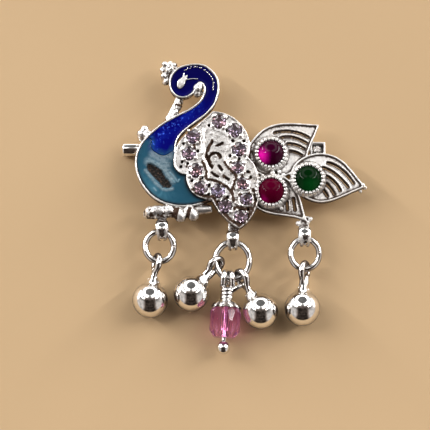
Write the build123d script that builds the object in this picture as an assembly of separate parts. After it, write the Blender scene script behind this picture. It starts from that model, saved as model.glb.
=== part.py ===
from build123d import *
import os
from math import cos, hypot, radians, sin, tan

# A peacock saree pin in cast silver with enamel, white stones, cabochons and five drops.
# It lies on its back. +X is to the right of the front view, +Y is up towards the crest, and
# +Z faces the viewer. Lengths are in millimetres and angles in degrees.

# Gaps left between separate pieces
enamel_gap = 0.03
stone_gap = 0.03
cabochon_gap = 0.04
link_gap = 0.07
pin_play = 0.08

# How far soldered pieces run into each other, and how far a cutter runs past a face
solder_overlap = 0.1
cutter_overrun = 1.0

# Heights of the casting's levels above the surface that it lies on
back_height = 2.2
bird_floor_thickness = 0.6
enamel_depth = 0.95
rim_height = 0.06
wing_thickness = 2.1
feather_thickness = 0.9
feather_rim_height = 0.3
front_feather_lift = 0.36

# Bird: neck, curled head and breast
bird_width = 12.7
bird_height = 22.0
bird_rim = 0.27
neck_overlap = 6.93
tail_overlap = 3.3
eye_height = 0.3
enamel_chip_depth = 0.3
colour_gap = 0.05

# Wing: a thick plate set with small white stones
wing_width = 12.7
wing_height = 17.95
wing_left = -10.6
wing_foot = -3.75
white_stone_diameter = 2.1
stone_table = 1.2
stone_crown = 0.32
stone_girdle = 0.06
stone_pavilion = 0.85
stone_culet = 0.1
stone_lower_culet = 0.7
stone_star = 1.12
stone_sink = 0.064
stone_turn = 17
bead_diameter = 0.36
bead_step = 0.1
bead_edge = 0.216
pit_diameter = 0.42
pit_depth = 0.7
groove_width = 0.3
groove_depth = 0.4

# Feathers: three pierced leaves with a cabochon at each root
fan_width = 17.85
fan_height = 15.15
fan_overlap = 1.65
fan_lift = 1.05
feather_rim = 0.24
slit_width = 0.3
fine_slit_width = 0.22
cabochon_diameter = 3.8
cabochon_wall = 0.75
cabochon_dome = 1.0
bezel_wall = 0.66
bezel_root = 0.27
bezel_foot = 0.2
bezel_land = 0.12
bezel_rise = 0.24
bezel_teeth = 24
tooth_notch_width = 0.3
tooth_notch_depth = 0.75

# Crest, beak and the lumpy strut between head and neck
crest_width = 2.5
crest_height = 3.75
crest_lump = 1.08
beak_diameter = 0.96
beak_tip_diameter = 0.6
beak_step = 0.56
beak_bearing = -60
strut_diameter = 0.85
strut_lump_diameter = 1.22
strut_rise = 0.25

# Twig under the breast and the two claws that hold it
twig_length = 9.4
twig_diameter = 1.75
twig_slope = 4.5
twig_overlap = 5.82
twig_drop = 0.55
claw_diameter = 1.7
claw_length = 0.85
claw_drop = 0.52
claw_rise = 0.35
claw_bearing = -50

# Strip loops that carry the rings
bail_diameter = 3.2
bail_strip_width = 1.95
bail_end_width = 1.3
bail_strip = 0.36
bail_edge = 0.1
lug_width = 1.3
lug_length = 1.3
lug_thickness = 0.9

# Jump rings
ring_wire = 0.75
side_ring_width = 5.0
side_ring_height = 5.3
middle_ring_width = 5.85
middle_ring_height = 6.3
ring_seam = 1.5
ring_sag = 0.5
bail_rise = 0.2

# Ball drops
ball_diameter = 5.3
eyelet_wire = 0.7
eyelet_diameter = 3.0
shank_diameter = 0.9
collar_diameter = 1.9
collar_length = 0.85
collar_bite = 0.19
drop_length = 5.65

# Crystal drop on a wound wire
crystal_diameter = 4.85
bead_length = 4.8
bead_end_diameter = 3.4
bead_band = 2.9
bead_waist = 1.04
bead_shoulder = 0.96
shoulder_reach = 1.25
end_blend = 1.02
bead_bore = 0.9
bead_floor_gap = 0.04
bead_reach = 6.28
wire_diameter = 0.62
loop_diameter = 2.95
loop_spacing = 0.92
coil_diameter = 1.84
coil_pitch = 0.56
coil_turns = 3
coil_start = 0.06
tail_diameter = 0.56
tail_back = 0.59
tail_out = 1.04
tail_rise = 0.1
cap_diameter = 4.65
cap_height = 1.4
cap_overlap = 0.53
cap_wall = 0.15
cap_flutes = 10
flute_diameter = 1.18
flute_reach = 1.75
end_ball_diameter = 2.0
end_ball_reach = 10.2

# Pin on the back: hinge box, stem and catch tube
stem_diameter = 0.8
catch_diameter = 1.96
catch_length = 4.9
catch_reach = 1.95
catch_plug = 0.6
foot_length = 1.96
foot_width = 1.18
stem_rise = 9.3
point_length = 1.28
point_end_diameter = 0.19
hinge_width = 2.3
hinge_depth = 2.4
hinge_wall = 0.3
hinge_floor = 0.24
hinge_rise = 0.3
stem_eye_diameter = 1.4
stem_eye_width = 0.8
rivet_diameter = 0.6
bracket_diameter = 1.72
bracket_left = 0.37
bracket_right = 0.74
bracket_drop = 0.1
bracket_sink = 0.35

# Levels, worked out from the thicknesses above
bird_floor = back_height + bird_floor_thickness
enamel_top = bird_floor + enamel_depth
bird_rim_top = enamel_top + rim_height
wing_top = back_height + wing_thickness
feather_top = back_height + feather_thickness
feather_rim_top = feather_top + feather_rim_height
ball_radius = ball_diameter / 2
eyelet_hole = eyelet_diameter / 2 - eyelet_wire
eyelet_room = eyelet_hole - ring_wire / 2 - link_gap
ring_level = ball_radius - ring_sag * eyelet_room
bail_hole = bail_diameter / 2 - bail_strip
bail_level = ring_level + bail_rise
bead_level = crystal_diameter / 2 + bead_floor_gap
stem_level = catch_diameter / 2
stone_level = wing_top - stone_sink
white_stone_radius = white_stone_diameter / 2
cabochon_radius = cabochon_diameter / 2

# Spacing of the points along an outline that is drawn again inside itself
outline_spacing = 0.7
fewest_stations = 18

# Half the angle between neighbouring facets of an eight-sided stone, and the turns that keep
# the seams of the crest's lumps apart
facet_turn = 22.5
lump_turns = (31, 17)

# Lower left corners and sizes of the three boxes that the outlines are shared out in
wing_box = (wing_left, wing_foot, wing_width, wing_height)
bird_box = (wing_left + neck_overlap - bird_width, wing_foot + tail_overlap, bird_width, bird_height)
fan_box = (wing_left + wing_width - fan_overlap, wing_foot + fan_lift, fan_width, fan_height)

# Tables of points. Columns: share of the box's width, share of its height.
head_and_nape = [
    (0.776, 0.861), (0.717, 0.807), (0.640, 0.767), (0.551, 0.756), (0.463, 0.777), (0.407, 0.824),
    (0.401, 0.882), (0.439, 0.936), (0.514, 0.974), (0.616, 0.994), (0.723, 1.000), (0.823, 0.990),
    (0.911, 0.954), (0.976, 0.902), (1.000, 0.837), (0.982, 0.762), (0.923, 0.691), (0.823, 0.630),
    (0.705, 0.579), (0.593, 0.528), (0.508, 0.466), (0.485, 0.395), (0.540, 0.313), (0.652, 0.225),
    (0.780, 0.136), (0.911, 0.048),
]
throat_and_breast = [
    (0.911, 0.048), (0.817, 0.025), (0.705, 0.007), (0.545, 0.000), (0.392, 0.014), (0.238, 0.054),
    (0.115, 0.123), (0.032, 0.208), (0.000, 0.300), (0.022, 0.385), (0.085, 0.456), (0.191, 0.521),
    (0.315, 0.579), (0.451, 0.626), (0.569, 0.660), (0.675, 0.694), (0.764, 0.739), (0.808, 0.786),
    (0.813, 0.830), (0.776, 0.861),
]
colour_boundary = [
    (0.030, 0.470), (0.120, 0.478), (0.191, 0.470), (0.190, 0.415), (0.238, 0.381), (0.345, 0.357),
    (0.439, 0.385), (0.600, 0.400),
]
enamel_chip = [
    (0.144, 0.293), (0.209, 0.303), (0.321, 0.265), (0.374, 0.211), (0.439, 0.150), (0.392, 0.126),
    (0.292, 0.157), (0.197, 0.211), (0.130, 0.262),
]
eye_outline = [
    (0.628, 0.922), (0.599, 0.878), (0.563, 0.834), (0.522, 0.820), (0.496, 0.844), (0.510, 0.878),
    (0.569, 0.905),
]
crest_root = (0.401, 0.882)
crest_start = (0.5, 0.18)
bracket_place = (0.12, 0.505)
beak_root = (0.755, 0.819)
strut_ends = [(0.537, 0.738), (0.463, 0.650)]
strut_lumps = [(0.510, 0.728), (0.498, 0.698), (0.470, 0.665)]

# Wing outline as arcs. Columns: share of width and height of the arc's middle, then of its end.
wing_start = (0.469, 0.992)
wing_foot_tip = (0.776, 0.000)
wing_arcs = [
    (0.752, 0.915, 0.906, 0.718),
    (0.906, 0.660, 0.876, 0.597),
    (0.976, 0.510, 0.994, 0.368),
    (1.000, 0.234, 0.917, 0.096),
    (0.858, 0.042, *wing_foot_tip),
    (0.575, 0.113, 0.455, 0.246),
    (0.244, 0.292, 0.156, 0.455),
    (0.055, 0.480, 0.002, 0.564),
    (0.038, 0.685, 0.162, 0.802),
    (0.321, 0.894, 0.469, 0.992),
]
white_stones = [
    (0.540, 0.902), (0.728, 0.827), (0.776, 0.664), (0.764, 0.513), (0.823, 0.376), (0.858, 0.245),
    (0.799, 0.099), (0.610, 0.184), (0.528, 0.313), (0.327, 0.338), (0.262, 0.485), (0.185, 0.632),
    (0.233, 0.774),
]
drill_pits = [
    (0.103, 0.560), (0.091, 0.518), (0.170, 0.545), (0.221, 0.400), (0.345, 0.425), (0.421, 0.284),
    (0.425, 0.365), (0.528, 0.222), (0.640, 0.262), (0.728, 0.155), (0.882, 0.160), (0.700, 0.740),
    (0.835, 0.735), (0.669, 0.610), (0.776, 0.587), (0.676, 0.560), (0.880, 0.476), (0.910, 0.430),
    (0.775, 0.435), (0.790, 0.300), (0.900, 0.310), (0.421, 0.869), (0.630, 0.827), (0.244, 0.700),
    (0.120, 0.715), (0.290, 0.650),
]
engraved_grooves = [
    [(0.362, 0.835), (0.351, 0.677), (0.380, 0.551), (0.398, 0.409)],
    [(0.398, 0.409), (0.504, 0.414), (0.610, 0.376), (0.693, 0.326)],
    [(0.628, 0.593), (0.675, 0.495), (0.734, 0.430), (0.734, 0.409)],
    [(0.734, 0.409), (0.693, 0.326), (0.705, 0.242), (0.746, 0.205)],
    [(0.463, 0.727), (0.398, 0.660), (0.398, 0.593), (0.457, 0.510)],
    [(0.421, 0.568), (0.445, 0.618), (0.504, 0.635), (0.563, 0.602)],
    [(0.516, 0.698), (0.548, 0.706), (0.581, 0.723)],
    [(0.540, 0.526), (0.553, 0.505), (0.575, 0.489)],
    [(0.457, 0.468), (0.490, 0.446), (0.528, 0.434)],
    [(0.587, 0.443), (0.620, 0.422), (0.658, 0.409)],
]

# Feather outlines, each from its tip round to its tip, then their slits and cabochons
top_feather = [
    (0.613, 0.985), (0.571, 0.861), (0.529, 0.743), (0.496, 0.634), (0.429, 0.535), (0.319, 0.465),
    (0.176, 0.455), (0.034, 0.554), (0.004, 0.733), (0.059, 0.847), (0.143, 0.941), (0.269, 0.994),
    (0.445, 0.998), (0.613, 0.985),
]
front_feather = [
    (1.000, 0.350), (0.899, 0.490), (0.798, 0.619), (0.681, 0.683), (0.555, 0.683), (0.454, 0.634),
    (0.387, 0.550), (0.364, 0.426), (0.420, 0.302), (0.513, 0.228), (0.622, 0.196), (0.748, 0.228),
    (0.874, 0.292), (1.000, 0.350),
]
low_feather = [
    (0.513, 0.000), (0.475, 0.109), (0.454, 0.218), (0.420, 0.317), (0.345, 0.436), (0.193, 0.485),
    (0.050, 0.406), (0.025, 0.267), (0.067, 0.163), (0.134, 0.111), (0.235, 0.079), (0.370, 0.057),
    (0.513, 0.000),
]
front_slits = [
    [(0.681, 0.594), (0.756, 0.559), (0.832, 0.485), (0.895, 0.386)],
    [(0.640, 0.548), (0.714, 0.505), (0.790, 0.431), (0.849, 0.351)],
    [(0.672, 0.460), (0.731, 0.406), (0.782, 0.317)],
    [(0.660, 0.390), (0.697, 0.347), (0.731, 0.282)],
    [(0.635, 0.327), (0.655, 0.298), (0.672, 0.262)],
]
low_slits = [
    [(0.335, 0.205), (0.337, 0.170), (0.340, 0.129)],
    [(0.390, 0.240), (0.396, 0.180), (0.403, 0.125)],
]
top_slits = [
    [(0.235, 0.904), (0.311, 0.918), (0.429, 0.903), (0.521, 0.856)],
    [(0.285, 0.852), (0.361, 0.861), (0.437, 0.839), (0.504, 0.797)],
    [(0.345, 0.792), (0.420, 0.779), (0.487, 0.738)],
    [(0.365, 0.718), (0.412, 0.706), (0.462, 0.678)],
]
cabochon_names = ["ruby_cabochon_upper", "ruby_cabochon_lower", "green_cabochon"]
cabochon_places = [(0.202, 0.688), (0.202, 0.307), (0.513, 0.426)]
cabochon_lifts = [0, 0, front_feather_lift]
hinge_share = 0.601

# Crest lumps. Columns: share of the crest's width, of its height, of its depth, and of the largest lump.
crest_lumps = [
    (0.79, 0.85, 0.50, 0.95), (0.39, 0.73, 0.58, 0.95), (0.18, 0.56, 0.48, 0.88), (0.56, 0.58, 0.62, 1.05),
    (0.80, 0.73, 0.58, 0.90), (0.43, 0.42, 0.48, 1.00), (0.20, 0.32, 0.52, 0.85), (0.24, 0.13, 0.46, 0.80),
    (0.38, 0.22, 0.56, 0.90), (0.60, 0.76, 0.46, 0.80),
]

# Twig profile. Columns: share of the length, share of the greatest radius.
twig_profile = [
    (0.00, 0.62), (0.03, 0.92), (0.08, 1.00), (0.14, 0.90), (0.22, 0.99), (0.30, 0.92), (0.37, 0.98),
    (0.52, 0.80), (0.70, 0.76), (0.88, 0.80), (1.00, 0.62),
]
claw_shares = [0.47, 0.67]
twig_bail_share = 0.2

# Bead cap profile. Columns: share of the height, share of the diameter.
cap_profile = [(0.00, 0.189), (0.30, 0.370), (0.65, 0.470), (1.00, 0.500)]

# Steps right and up from where each bail hangs to the top of its loop
left_bail_step = (0.0, -0.1)
middle_bail_step = (-0.95, 0.05)
right_bail_step = (-0.55, -0.45)

# Box shares of the line that closes the upper enamel's cutter, well outside the bird
split_left = -0.3
split_right = 1.2
split_top = 1.2

# Rings. Columns: name, width, height, steps to the right of the bail and below it, bearing of the seam.
ring_table = [
    ("jump_ring_left", side_ring_width, side_ring_height, -0.37, 0.15, 60),
    ("jump_ring_middle", middle_ring_width, middle_ring_height, -0.05, 0.3, 112),
    ("jump_ring_right", side_ring_width, side_ring_height, 0.05, 0.3, 118),
]

# Ball drops. Columns: name, ring, bearing on the ring, bearing of the drop, share of the play used.
drop_table = [
    ("ball_drop_left", "jump_ring_left", 260, 260.5, 0.8),
    ("ball_drop_mid_left", "jump_ring_middle", 194, 229.5, 0.0),
    ("ball_drop_mid_right", "jump_ring_middle", 300, 299, 0.8),
    ("ball_drop_right", "jump_ring_right", 268, 266, 0.8),
]
crystal_ring_bearing = 255
crystal_bearing = 266
crystal_play = 0.45


def on_box(box, u, v):
    return (box[0] + u * box[2], box[1] + v * box[3])


def on_box_all(box, rows):
    return [on_box(box, u, v) for u, v in rows]


def step(start, bearing, reach):
    return (start[0] + reach * cos(radians(bearing)), start[1] + reach * sin(radians(bearing)))


def prism(face, low, high):
    return Pos(0, 0, low) * extrude(face, amount=high - low, dir=(0, 0, 1))


def smooth_edge(box, rows):
    return Spline(*on_box_all(box, rows))


def corner_of(before, after, turning):
    # The bisector at a corner, half the angle there, and whether the outline bulges out at it.
    back = (before % 1) * -1
    ahead = after % 0
    half = radians(back.get_angle(ahead)) / 2
    bulges = (before % 1).cross(ahead).Z * turning > 0
    return (back + ahead).normalized(), half, bulges


def inset_face(edges, distance):
    # The outline drawn again at a distance inside itself, or outside if the distance is negative.
    spots = [edge @ (number / 12) for edge in edges for number in range(12)]
    area = sum(a.X * b.Y - b.X * a.Y for a, b in zip(spots, spots[1:] + spots[:1]))
    turning = 1 if area > 0 else -1
    corners = [corner_of(edges[number - 1], edge, turning) for number, edge in enumerate(edges)]
    trims = [1.25 * distance / tan(half) if bulges else 0 for bisector, half, bulges in corners]
    curves = []
    joints = []
    for number, edge in enumerate(edges):
        follow = (number + 1) % len(edges)
        first = max(trims[number], 0) / edge.length
        last = 1 - max(trims[follow], 0) / edge.length
        count = max(fewest_stations, round(edge.length / outline_spacing))
        points = []
        for station in range(count + 1):
            share = first + (last - first) * station / count
            along = edge % share
            points.append(edge @ share + Vector(-along.Y, along.X, 0) * distance * turning)
        bisector, half, bulges = corners[number]
        if bulges:
            points.insert(0, edge @ 0 + bisector * (distance / sin(half)))
        bisector, half, bulges = corners[follow]
        if bulges:
            points.append(edges[follow] @ 0 + bisector * (distance / sin(half)))
        curves.append(Spline(*points))
    for number, curve in enumerate(curves):
        follow = (number + 1) % len(edges)
        bisector, half, bulges = corners[follow]
        if not bulges:
            middle = edges[follow] @ 0 - bisector * distance
            joints.append(ThreePointArc(curve @ 1, middle, curves[follow] @ 0))
    return make_face(curves + joints)


def band(points, width):
    # A strip with round ends that follows a short list of points.
    middle = Spline(*points)
    stations = 2 * len(points)
    half = width / 2
    left = []
    right = []
    for number in range(stations + 1):
        share = number / stations
        spot = middle @ share
        along = middle % share
        left.append((spot.X - along.Y * half, spot.Y + along.X * half))
        right.append((spot.X + along.Y * half, spot.Y - along.X * half))
    first = middle @ 0 - (middle % 0) * half
    last = middle @ 1 + (middle % 1) * half
    edges = [
        Spline(*left),
        ThreePointArc(left[-1], (last.X, last.Y), right[-1]),
        Spline(*reversed(right)),
        ThreePointArc(right[0], (first.X, first.Y), left[0]),
    ]
    return make_face(edges)


def fused(solids):
    whole = solids[0]
    for solid in solids[1:]:
        whole = whole + solid
    return whole


def rod(start, end, radius):
    # A round bar with ball ends between two points in space.
    axis = Vector(*end) - Vector(*start)
    bar = Plane(origin=start, z_dir=axis) * Cylinder(
        radius, axis.length, align=(Align.CENTER, Align.CENTER, Align.MIN)
    )
    return fused([bar, Pos(*start) * Sphere(radius), Pos(*end) * Sphere(radius)])


def facet_stack(sides, turn, levels):
    # Regular polygons of the given across-corner radii, joined by flat facets.
    layers = []
    for (low, low_radius), (high, high_radius) in zip(levels, levels[1:]):
        sections = [
            Pos(0, 0, low) * RegularPolygon(low_radius, sides, rotation=turn),
            Pos(0, 0, high) * RegularPolygon(high_radius, sides, rotation=turn),
        ]
        layers.append(loft(sections, ruled=True))
    stack = layers[0]
    for layer in layers[1:]:
        stack = stack + layer
    return stack


# Outlines
bird_edges = [smooth_edge(bird_box, head_and_nape), smooth_edge(bird_box, throat_and_breast)]
bird_face = make_face(bird_edges)
eye_edge = smooth_edge(bird_box, eye_outline + eye_outline[:1])


def wing_outline():
    edges = []
    start = on_box(wing_box, *wing_start)
    for mid_u, mid_v, end_u, end_v in wing_arcs:
        end = on_box(wing_box, end_u, end_v)
        edges.append(ThreePointArc(start, on_box(wing_box, mid_u, mid_v), end))
        start = end
    return make_face(edges)


wing_face = wing_outline()
stone_spots = on_box_all(wing_box, white_stones)
cabochon_spots = on_box_all(fan_box, cabochon_places)


def bird_solid():
    # The rimmed tray for the enamel, with what is cast on round it.
    pocket = prism(inset_face(bird_edges, bird_rim), bird_floor, bird_rim_top + cutter_overrun)
    body = prism(bird_face, back_height, bird_rim_top) - pocket
    body = body + prism(make_face(eye_edge), back_height, enamel_top + eye_height)
    for solids in ([crest_solid()], beak_solids(), strut_solids(), twig_solids(), [bracket_solid()]):
        body = body + fused(solids)
    return body


def stone_seat():
    # The stone's own section, opened by its gap, so that each stone drops into a fitted cup.
    wide = white_stone_radius + stone_gap
    section = Polyline(
        (0, stone_level - stone_pavilion - 2 * stone_gap),
        (wide, stone_level - 2 * stone_gap),
        (wide, wing_top + bead_diameter),
        (0, wing_top + bead_diameter),
        close=True,
    )
    return revolve(Plane.XZ * make_face(section), axis=Axis.Z)


def bead_spots():
    # Four grains round each stone, left out where they would stand in a neighbour's seat or
    # too near the plate's edge.
    radius = bead_diameter / 2
    field = offset(wing_face, amount=-bead_edge).faces()[0]
    reach = white_stone_radius + stone_gap + bead_step
    spots = []
    for spot in stone_spots:
        for bearing in range(45, 360, 90):
            grain = step(spot, bearing, reach)
            others = [hypot(grain[0] - x, grain[1] - y) for x, y in stone_spots if (x, y) != spot]
            placed = [hypot(grain[0] - x, grain[1] - y) for x, y in spots]
            room = min(others) > white_stone_radius + stone_gap + radius and field.is_inside((*grain, 0))
            if room and all(distance > bead_diameter for distance in placed):
                spots.append(grain)
    return spots


def wing_solid():
    plate = prism(wing_face, back_height, wing_top)
    return plate + [Pos(x, y, wing_top) * Sphere(bead_diameter / 2) for x, y in bead_spots()]


def wing_cuts():
    seat = stone_seat()
    pit = Cylinder(pit_diameter / 2, pit_depth, align=(Align.CENTER, Align.CENTER, Align.MAX))
    cuts = [Pos(x, y, 0) * seat for x, y in stone_spots]
    cuts += [Pos(x, y, wing_top) * pit for x, y in on_box_all(wing_box, drill_pits)]
    for row in engraved_grooves:
        groove = band(on_box_all(wing_box, row), groove_width)
        cuts.append(prism(groove, wing_top - groove_depth, wing_top + cutter_overrun))
    return cuts


def feather_solid(rows, slits, width, lift):
    # A pierced plate with a raised rim round it.
    edge = smooth_edge(fan_box, rows)
    high = feather_rim_top + lift
    hollow = prism(inset_face([edge], feather_rim), feather_top + lift, high + cutter_overrun)
    plate = prism(make_face(edge), back_height, high) - hollow
    return plate - [prism(band(on_box_all(fan_box, slit), width), 0, wing_top) for slit in slits]


def bezel_solid(lift):
    inner = cabochon_radius + cabochon_gap
    outer = inner + bezel_wall
    low = back_height + bezel_root
    seat = feather_top + lift
    high = seat + cabochon_wall + bezel_rise
    collar = Polyline(
        (0, low), (outer, low), (outer, seat + bezel_foot), (inner + bezel_land, high), (inner, high),
        (inner, seat), (0, seat), close=True,
    )
    bezel = revolve(Plane.XZ * make_face(collar), axis=Axis.Z)
    half = tooth_notch_width / 2
    mouth = high + solder_overlap
    foot = high - tooth_notch_depth
    notch_face = make_face(Polyline((-half, mouth), (half, mouth), (0, foot), close=True))
    place = Plane(origin=(inner + solder_overlap, 0, 0), x_dir=(0, 1, 0), z_dir=(1, 0, 0))
    notch = extrude(place * notch_face, amount=bezel_wall + cutter_overrun)
    return bezel - [Rot(0, 0, 360 * number / bezel_teeth) * notch for number in range(bezel_teeth)]


def cabochon_solid(lift):
    # A short cylinder under a shallow dome, cut from one ball.
    low = feather_top + lift + cabochon_gap
    dome_radius = (cabochon_radius ** 2 + cabochon_dome ** 2) / (2 * cabochon_dome)
    top = low + cabochon_wall + cabochon_dome
    drum = Cylinder(cabochon_radius, top - low, align=(Align.CENTER, Align.CENTER, Align.MIN))
    return Pos(0, 0, low) * drum & Pos(0, 0, top - dome_radius) * Sphere(dome_radius)


def crest_solid():
    # Cast grains heaped against the head's rim.
    x, y = on_box(bird_box, *crest_root)
    box = (x - crest_start[0] * crest_width, y - crest_start[1] * crest_height, crest_width, crest_height)
    lumps = []
    for number, (u, v, depth, size) in enumerate(crest_lumps):
        x, y = on_box(box, u, v)
        level = back_height + depth * (bird_rim_top - back_height)
        turn = Rot(lump_turns[0] * number, lump_turns[1] * number, 0)
        lumps.append(Pos(x, y, level) * turn * Sphere(size * crest_lump / 2))
    return fused(lumps)


def beak_solids():
    x, y = on_box(bird_box, *beak_root)
    level = (bird_floor + bird_rim_top) / 2
    tip_x, tip_y = step((x, y), beak_bearing, beak_step)
    root = Pos(x, y, level) * Sphere(beak_diameter / 2)
    return [root, Pos(tip_x, tip_y, level) * Sphere(beak_tip_diameter / 2)]


def strut_solids():
    level = back_height + strut_diameter / 2 + strut_rise
    (x0, y0), (x1, y1) = on_box_all(bird_box, strut_ends)
    solids = [rod((x0, y0, level), (x1, y1, level), strut_diameter / 2)]
    for x, y in on_box_all(bird_box, strut_lumps):
        solids.append(Pos(x, y, level + solder_overlap) * Sphere(strut_lump_diameter / 2))
    return solids


# Twig: its right end runs in under the wing, and its top edge lies against the breast
twig_middle_y = bird_box[1] - twig_drop
twig_right = (wing_left + twig_overlap, twig_middle_y + twig_length / 2 * sin(radians(twig_slope)))
twig_left = step(twig_right, 180 + twig_slope, twig_length)
twig_level = back_height + twig_diameter / 2


def on_twig(share):
    return step(twig_left, twig_slope, share * twig_length)


def twig_solids():
    section = [(share * twig_length, size * twig_diameter / 2) for share, size in twig_profile]
    edges = [Spline(*section), Polyline(section[-1], (twig_length, 0), (0, 0), section[0])]
    bar = revolve(make_face(edges), axis=Axis.X)
    twig = Pos(twig_left[0], twig_left[1], twig_level) * Rot(0, 0, twig_slope) * bar
    solids = [twig]
    level = twig_level + claw_rise
    for share in claw_shares:
        x, y = step(on_twig(share), -90, claw_drop)
        low = step((x, y), claw_bearing, claw_length / 2)
        high = step((x, y), claw_bearing + 180, claw_length / 2)
        solids.append(rod((high[0], high[1], level), (low[0], low[1], level), claw_diameter / 2))
    return solids


# Bails. Each loop's centre lies below the piece that carries it.
def under(spot, bail_step):
    return (spot[0] + bail_step[0], spot[1] + bail_step[1] - bail_diameter / 2)


bail_spots = {
    "jump_ring_left": under(step(on_twig(twig_bail_share), -90, twig_diameter / 2), left_bail_step),
    "jump_ring_middle": under(on_box(wing_box, *wing_foot_tip), middle_bail_step),
    "jump_ring_right": under(on_box(fan_box, *low_feather[0]), right_bail_step),
}


def bail_solids():
    # Each loop is a domed strip that narrows towards its lower end.
    outer = bail_diameter / 2
    half = bail_strip_width / 2
    edge = bail_hole + bail_edge
    edges = [
        ThreePointArc((edge, -half), (outer, 0), (edge, half)),
        Polyline((edge, half), (bail_hole, half), (bail_hole, -half), (edge, -half)),
    ]
    hoop = Rot(0, 90, 0) * revolve(Plane.XZ * make_face(edges), axis=Axis.Z)
    past = outer + solder_overlap
    taper = make_face(Polyline(
        (-bail_end_width / 2, -past), (bail_end_width / 2, -past), (half, bail_strip), (half, past),
        (-half, past), (-half, bail_strip), close=True,
    ))
    loop = hoop & prism(taper, -past, past)
    lug = Box(
        lug_width, bail_strip + lug_length, lug_thickness, align=(Align.CENTER, Align.MIN, Align.CENTER)
    )
    solids = []
    for x, y in bail_spots.values():
        solids.append(Pos(x, y, bail_level) * loop)
        solids.append(Pos(x, y + bail_hole + solder_overlap, bail_level) * lug)
    return solids


# Pin mechanism. The stem runs along X behind the body.
stem_y = bird_box[1] + stem_rise
catch_left = bird_box[0] - catch_reach
cavity_width = hinge_width - 2 * hinge_wall
cavity_depth = hinge_depth - 2 * hinge_wall
hinge_centre = (
    on_box(fan_box, hinge_share, 0)[0],
    stem_y - (cavity_depth - stem_eye_width) / 2 + 2 * pin_play,
)


def catch_solid():
    tube = Pos(catch_left, stem_y, stem_level) * Rot(0, 90, 0) * Cylinder(
        catch_diameter / 2, catch_length, align=(Align.CENTER, Align.CENTER, Align.MIN)
    )
    foot_height = back_height - stem_level + solder_overlap
    foot = Pos(catch_left + catch_length - foot_length, stem_y, stem_level) * Box(
        foot_length, foot_width, foot_height, align=(Align.MIN, Align.CENTER, Align.MIN)
    )
    return tube + foot


def catch_bore():
    return Pos(catch_left + catch_plug, stem_y, stem_level) * Rot(0, 90, 0) * Cylinder(
        stem_diameter / 2 + pin_play, catch_length, align=(Align.CENTER, Align.CENTER, Align.MIN)
    )


def hinge_solid():
    x, y = hinge_centre
    height = back_height + hinge_rise
    shell = Pos(x, y, 0) * Box(
        hinge_width, hinge_depth, height, align=(Align.CENTER, Align.CENTER, Align.MIN)
    )
    inside = Pos(x, y, hinge_floor) * Box(
        cavity_width, cavity_depth, height, align=(Align.CENTER, Align.CENTER, Align.MIN)
    )
    slot = Pos(x - hinge_width / 2, stem_y, stem_level) * Rot(0, 90, 0) * Cylinder(
        stem_diameter / 2 + pin_play, hinge_wall * 3
    )
    rivet = Pos(x, y, stem_level) * Rot(90, 0, 0) * Cylinder(rivet_diameter / 2, hinge_depth - hinge_wall)
    return shell - inside - slot + rivet


def bracket_solid():
    x, y = on_box(bird_box, *bracket_place)
    level = back_height - bracket_sink
    left = (x - bracket_left, y, level)
    right = (x + bracket_right, y - bracket_drop, level)
    return rod(left, right, bracket_diameter / 2)


def pin_stem():
    eye = Rot(90, 0, 0) * (
        Cylinder(stem_eye_diameter / 2, stem_eye_width)
        - Cylinder(rivet_diameter / 2 + pin_play, stem_eye_width + cutter_overrun)
    )
    tip_x = catch_left + catch_plug + 2 * pin_play
    start_x = hinge_centre[0] - stem_eye_diameter / 2 + solder_overlap
    shaft = Pos(tip_x + point_length, 0, 0) * Rot(0, 90, 0) * Cylinder(
        stem_diameter / 2, start_x - tip_x - point_length, align=(Align.CENTER, Align.CENTER, Align.MIN)
    )
    point = Pos(tip_x, 0, 0) * Rot(0, 90, 0) * Cone(
        point_end_diameter / 2, stem_diameter / 2, point_length,
        align=(Align.CENTER, Align.CENTER, Align.MIN)
    )
    stem = shaft + point + Pos(hinge_centre[0], 0, 0) * eye
    return Pos(0, stem_y, stem_level) * stem


def casting():
    # Each group is fused by itself and then soldered to the rest.
    fan = feather_solid(top_feather, top_slits, fine_slit_width, 0)
    fan = fan + feather_solid(front_feather, front_slits, slit_width, front_feather_lift)
    fan = fan + feather_solid(low_feather, low_slits, slit_width, 0)
    metal = bird_solid() + wing_solid() - wing_cuts() + fan
    seat = Cylinder(cabochon_radius + cabochon_gap, wing_top, align=(Align.CENTER, Align.CENTER, Align.MIN))
    for (x, y), lift in zip(cabochon_spots, cabochon_lifts):
        metal = metal + Pos(x, y, 0) * bezel_solid(lift) - Pos(x, y, feather_top + lift) * seat
    for solid in bail_solids() + [catch_solid(), hinge_solid()]:
        metal = metal + solid
    return metal - catch_bore()


def enamel_solids():
    # The pocket's floor area, less the wing and the eye, split where the colour changes.
    area = inset_face(bird_edges, bird_rim + enamel_gap) - offset(wing_face, amount=enamel_gap)
    area = area - inset_face([eye_edge], -enamel_gap)
    slab = prism(area, bird_floor + enamel_gap, enamel_top)
    line = on_box_all(bird_box, colour_boundary)
    high = on_box(bird_box, split_right, split_top)
    left = on_box(bird_box, split_left, split_top)
    frame = Polyline(line[-1], (high[0], line[-1][1]), high, left, (left[0], line[0][1]), line[0])
    over = enamel_top + cutter_overrun
    upper_prism = prism(make_face([Spline(*line), frame]), 0, over)
    lower_prism = Pos(-enamel_gap, -colour_gap, 0) * upper_prism
    chip_face = make_face(smooth_edge(bird_box, enamel_chip + enamel_chip[:1]))
    chip = prism(chip_face, enamel_top - enamel_chip_depth, over)
    blue = slab & upper_prism
    teal = slab - lower_prism - chip
    return {"blue_enamel": blue, "teal_enamel": teal}


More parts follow.
